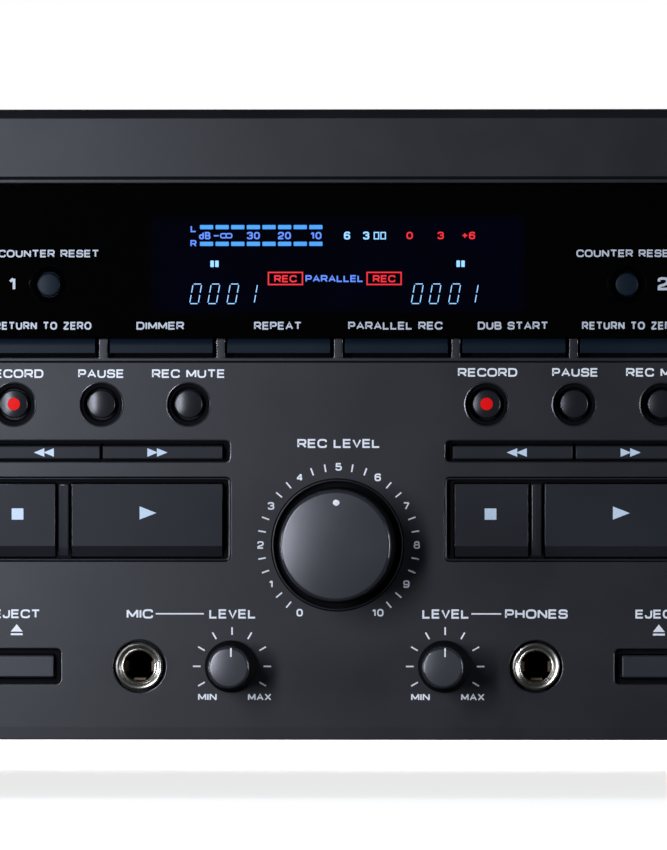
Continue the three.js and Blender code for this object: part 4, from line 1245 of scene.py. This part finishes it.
def screw(solid, spot, spin, tip="Y", r=3.0):
    """A pan head with a cross recess. spin turns it from facing the front."""
    solid.turn = Matrix.Translation(spot) @ Matrix.Rotation(math.radians(spin), 4, tip)
    outline = circle(0, 0, r, 40)
    rim = [(-r * 0.5, -1.55), (-r * 0.25, -1.4), (-0.3, -1.05), (-0.08, -0.75), (0, -0.4), (0, 0.6)]
    front, back = solid.walls(outline, rim)
    solid.fill([back])
    mouth, floor_ring = solid.walls(cross(0, 0, r * 0.42), [(0.06, -1.55), (0, -1.45), (-0.1, -0.5)])
    solid.fill([front, mouth])
    solid.fill([floor_ring])
    solid.turn = Matrix.Identity(4)


def screws():
    solid = Solid()
    for sign in (-1, 1):
        for y in (40, 140, 238):
            screw(solid, (sign * (COVER.x1 + 0.1), y, 18), 90 * sign, "Z", 3.6)
    piece("cover_screws", solid, [case_black], CASE)
    solid = Solid()
    for x in (-150, 0, 150):
        screw(solid, (x, REAR.y1 + 0.1, REAR.z1 - 5), 180, "Z")
    for x, z in ((-206, 60), (206, 60), (-100, 10), (110, 10), (14, 62), (106, 62)):
        screw(solid, (x, REAR.y1 + 0.1, z), 180, "Z", 2.6)
    piece("rear_screws", solid, [case_black], CASE)


def feet():
    upright = Matrix.Rotation(math.radians(90), 4, "X")
    for node_name in ("foot_front_left", "foot_front_right", "foot_rear_left", "foot_rear_right"):
        foot = Span(node_name)
        r, tall = foot.width / 2, foot.height
        solid = Solid(Matrix.Translation((foot.x, foot.y, foot.z0)) @ upright)
        profile = [(0, 3.4), (5.5, 3.4), (5.8, 3.1), (5.8, 1.4), (6.2, 1.0), (r - 3.4, 1.0), (r - 3.1, 0.9)]
        profile += [(r - 3, 0.6), (r - 2.9, 0.1), (r - 2.6, 0), (r - 1.6, 0), (r - 1.2, 0.15), (r - 0.9, 0.6)]
        profile += [(r - 0.15, tall - 2.4), (r, tall - 1.8), (r, tall - 0.3), (r - 0.3, tall), (0, tall)]
        solid.lathe(profile, 0, 0, 96, (0, 0, 0, 0, 0, 1, 1, 1, 1, 1, 1, 1, 0))
        piece(node_name + "_body", solid, [moulded_black, rubber], CASE, [node_name])


def line_sockets():
    """Eight phono sockets in two rows on a moulded plate, with their names."""
    middle, pitch, margin, rows = 60, 22, 9, (38, 58)
    columns = [middle + pitch * (k - 1.5) for k in range(4)]
    wall, tip = REAR.y1, Span("line_sockets").y1
    shell = [(3.2, wall - 1), (4.1, wall - 1), (4.15, tip - 0.5), (4.0, tip - 0.1), (3.85, tip)]
    shell += [(3.45, tip), (3.25, tip - 0.2), (3.2, wall - 1)]
    core = [(1.6, tip - 6), (1.6, tip - 0.9), (1.75, tip - 0.7), (3.1, tip - 0.7), (3.2, tip - 0.9)]
    core += [(3.2, tip - 6), (1.6, tip - 6)]
    ring = [(4.2, wall + 0.1), (6.2, wall + 0.1), (6.2, wall + 0.5), (6.0, wall + 0.8)]
    ring += [(4.4, wall + 0.8), (4.2, wall + 0.1)]
    shells, rings, plate = Solid(), Solid(), Solid()
    for x in columns:
        for row, z in enumerate(rows):
            shells.lathe(shell, x, z, 48)
            rings.lathe(core, x, z, 40, (row,))
            rings.lathe(ring, x, z, 48, (row,))
    half = pitch * 1.5 + margin
    low, high = rows[0] - margin, rows[1] + margin
    plate.bar(middle - half, middle + half, REAR.y0 - 9, wall - 0.2, low, high, 0.3, 1)
    piece("line_socket_plate", plate, [moulded_black], CASE, ["line_sockets"])
    piece("line_socket_shells", shells, [nickel], CASE)
    piece("line_socket_rings", rings, [ring_red, ring_white], CASE)
    ink = Print(0, INK, Matrix.Translation((0, wall, 0)) @ Matrix.Rotation(math.pi, 4, "Z"))
    for x, words in zip(columns, ("IN 1", "OUT 1", "IN 2", "OUT 2")):
        ink.text(words, -x, rows[1] + 11, 2.4)
    for z, words in zip(rows, "RL"):
        ink.text(words, -(columns[-1] + 14), z - 1.2, 2.4)
        ink.text(words, -(columns[0] - 14), z - 1.2, 2.4)
    ink.done("rear_lettering", label_ink, "panel")


def mains_inlet():
    """A two-pole inlet: a shroud with rounded ends, a sunk face and two pins."""
    part = Span("mains_inlet")
    x, z, y1 = -165, 40, part.y1
    solid = Solid(Matrix.Translation((x, y1, z)) @ Matrix.Rotation(math.pi, 4, "Z"))
    outline = rounded(corners(-17, 17, -8.5, 8.5), 2.2, 6)
    front, back = solid.walls(outline, round_edge(0.6, 0, 4) + [(0, y1 - REAR.y1 + 0.1)])
    pocket = rounded(corners(-7.5, 7.5, -4.3, 4.3), 3.9, 8)
    # the pocket's deep wall and its floor are painted shade-black
    mouth, floor_ring = solid.walls(pocket, round_mouth(0.4) + [(0, 12)], (0, 0, 0, 1))
    solid.fill([front, mouth])
    solid.fill([floor_ring], 1)
    solid.fill([back])
    piece("mains_inlet_body", solid, [moulded_black, painted_shade_black], CASE, ["mains_inlet"])
    pins = Solid()
    profile = [(0, 2.5), (0.7, 2.6), (1.1, 3.1), (1.2, 3.8), (1.2, 12), (0, 12)]
    for side in (-1, 1):
        pins.lathe([(r, y1 - depth) for r, depth in profile], x + side * 4.3, z, 32)
    piece("mains_inlet_pins", pins, [nickel], CASE)


for number, sign in SIDES:
    door_x = sign * DOOR_X
    cassette_door(number, door_x)
    for side in ("supply", "takeup"):
        reel_spindle(f"{side}_spindle_{number}")
    capstan(f"capstan_flywheel_{number}")
    pinch_roller(f"pinch_roller_{number}")
    tape_head(number, door_x)
screws()
feet()
line_sockets()
mains_inlet()

# ---------------------------------------------------------------- the CAD pieces that stay

NODE_PAINTS = {
    "bottom_chassis": zinc,
    "top_cover": powder_coat,
    "rear_panel": powder_coat,
    "control_board": circuit,
    "main_board": circuit,
    "power_transformer": iron,
    "mechanism_frame": mechanism_plastic,
    "head_base": zinc,
}


def finish_node(thing, paint):
    """A CAD piece keeps its mesh. Modifiers round its edges."""
    thing.data.materials.clear()
    thing.data.materials.append(paint)
    weld = thing.modifiers.new("weld", "WELD")
    weld.merge_threshold = 0.01 * MM
    round_off(thing, 0.15, 40, segments=2, harden=False)
    even_normals(thing, 50)


for name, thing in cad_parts.items():
    for start, paint in NODE_PAINTS.items():
        if name.startswith(start) and not thing.hide_render:
            finish_node(thing, paint)

# ---------------------------------------------------------------- stage

scene = bpy.context.scene
scene.view_settings.view_transform = "Standard"


def floor():
    material = textured("floor_white", (0.8, 0.8, 0.8), 0.7, grain=300, depth=50, spread=0.01)
    surface = material.node_tree.nodes["Principled BSDF"]
    surface.inputs["Emission Color"].default_value = (1, 1, 1, 1)
    surface.inputs["Emission Strength"].default_value = 0.8
    mesh = bpy.data.meshes.new("floor")
    half = 6.0
    points = [(x, y, 0) for x, y in corners(-half, half, -half, half)]
    mesh.from_pydata(points, [], [(0, 1, 2, 3)])
    thing = bpy.data.objects.new("floor", mesh)
    mesh.materials.append(material)
    scene.collection.objects.link(thing)
    thing.visible_diffuse = False
    thing.visible_glossy = False


def softbox(name, spot, aim, size, watts, colour):
    light = bpy.data.lights.new(name, "AREA")
    light.shape = "RECTANGLE"
    light.size, light.size_y = size
    light.energy = watts
    light.color = colour
    thing = bpy.data.objects.new(name, light)
    thing.location = spot
    thing.rotation_euler = (Vector(aim) - Vector(spot)).to_track_quat("-Z", "Y").to_euler()
    thing.visible_camera = False
    scene.collection.objects.link(thing)


def backdrop():
    """A white background to the eye that lights the model only a little."""
    world = bpy.data.worlds.new("backdrop")
    world.use_nodes = True
    nodes, link = world.node_tree.nodes, world.node_tree.links.new
    nodes.clear()
    ray = nodes.new("ShaderNodeLightPath")
    seen, unseen = nodes.new("ShaderNodeBackground"), nodes.new("ShaderNodeBackground")
    seen.inputs["Color"].default_value = (1, 1, 1, 1)
    unseen.inputs["Color"].default_value = (0.9, 0.95, 1, 1)
    unseen.inputs["Strength"].default_value = 0.012
    mix, out = nodes.new("ShaderNodeMixShader"), nodes.new("ShaderNodeOutputWorld")
    link(ray.outputs["Is Camera Ray"], mix.inputs["Fac"])
    link(unseen.outputs["Background"], mix.inputs[1])
    link(seen.outputs["Background"], mix.inputs[2])
    link(mix.outputs["Shader"], out.inputs["Surface"])
    scene.world = world


def camera():
    """A long lens, a little to the right of the middle, on the middle of the panel."""
    data = bpy.data.cameras.new("camera")
    data.sensor_fit = "VERTICAL"
    data.sensor_height = 36
    distance, seen_height = 2.5, 0.1778
    data.lens = data.sensor_height * distance / seen_height
    data.clip_start = 0.1
    thing = bpy.data.objects.new("camera", data)
    aim = place(-0.84, 0, 65.9)
    turn = math.radians(1.9)
    thing.location = aim + distance * Vector((math.sin(turn), -math.cos(turn), 0))
    thing.rotation_euler = (aim - thing.location).to_track_quat("-Z", "Y").to_euler()
    scene.collection.objects.link(thing)
    scene.camera = thing


COOL, WHITE = (0.90, 0.95, 1.10), (1, 1, 1)
LIGHTS = (  # name, spot and aim in metres from the panel's middle, size, watts, colour
    ("key", (-0.16, -0.31, 0.03), (-0.05, 0, 0), (0.045, 0.24), 0.80, COOL),
    ("fill", (0.34, -0.26, 0.03), (0.05, 0, 0), (0.03, 0.20), 0.08, COOL),
    ("edge_right", (0.45, -0.20, -0.02), (0, 0, 0), (0.025, 0.22), 1.1, COOL),
    ("edge_left", (-0.45, -0.20, -0.02), (0, 0, 0), (0.025, 0.22), 1.1, COOL),
    ("top", (0, 1.5, 0.9), (0, 0, 0), (1.2, 0.8), 14, WHITE),
    ("left", (-1.1, 0.6, 0.5), (0, 0, 0), (0.7, 0.7), 9, WHITE),
    ("right", (1.1, 0.6, 0.5), (0, 0, 0), (0.7, 0.7), 9, WHITE),
    ("back", (0.2, 1.5, 0.5), (0, 0, 0), (0.9, 0.6), 9, WHITE),
)
floor()
backdrop()
camera()
middle = place(0, 0, 60)
for name, spot, aim, size, watts, colour in LIGHTS:
    softbox(name, middle + Vector(spot), middle + Vector(aim), size, watts, colour)
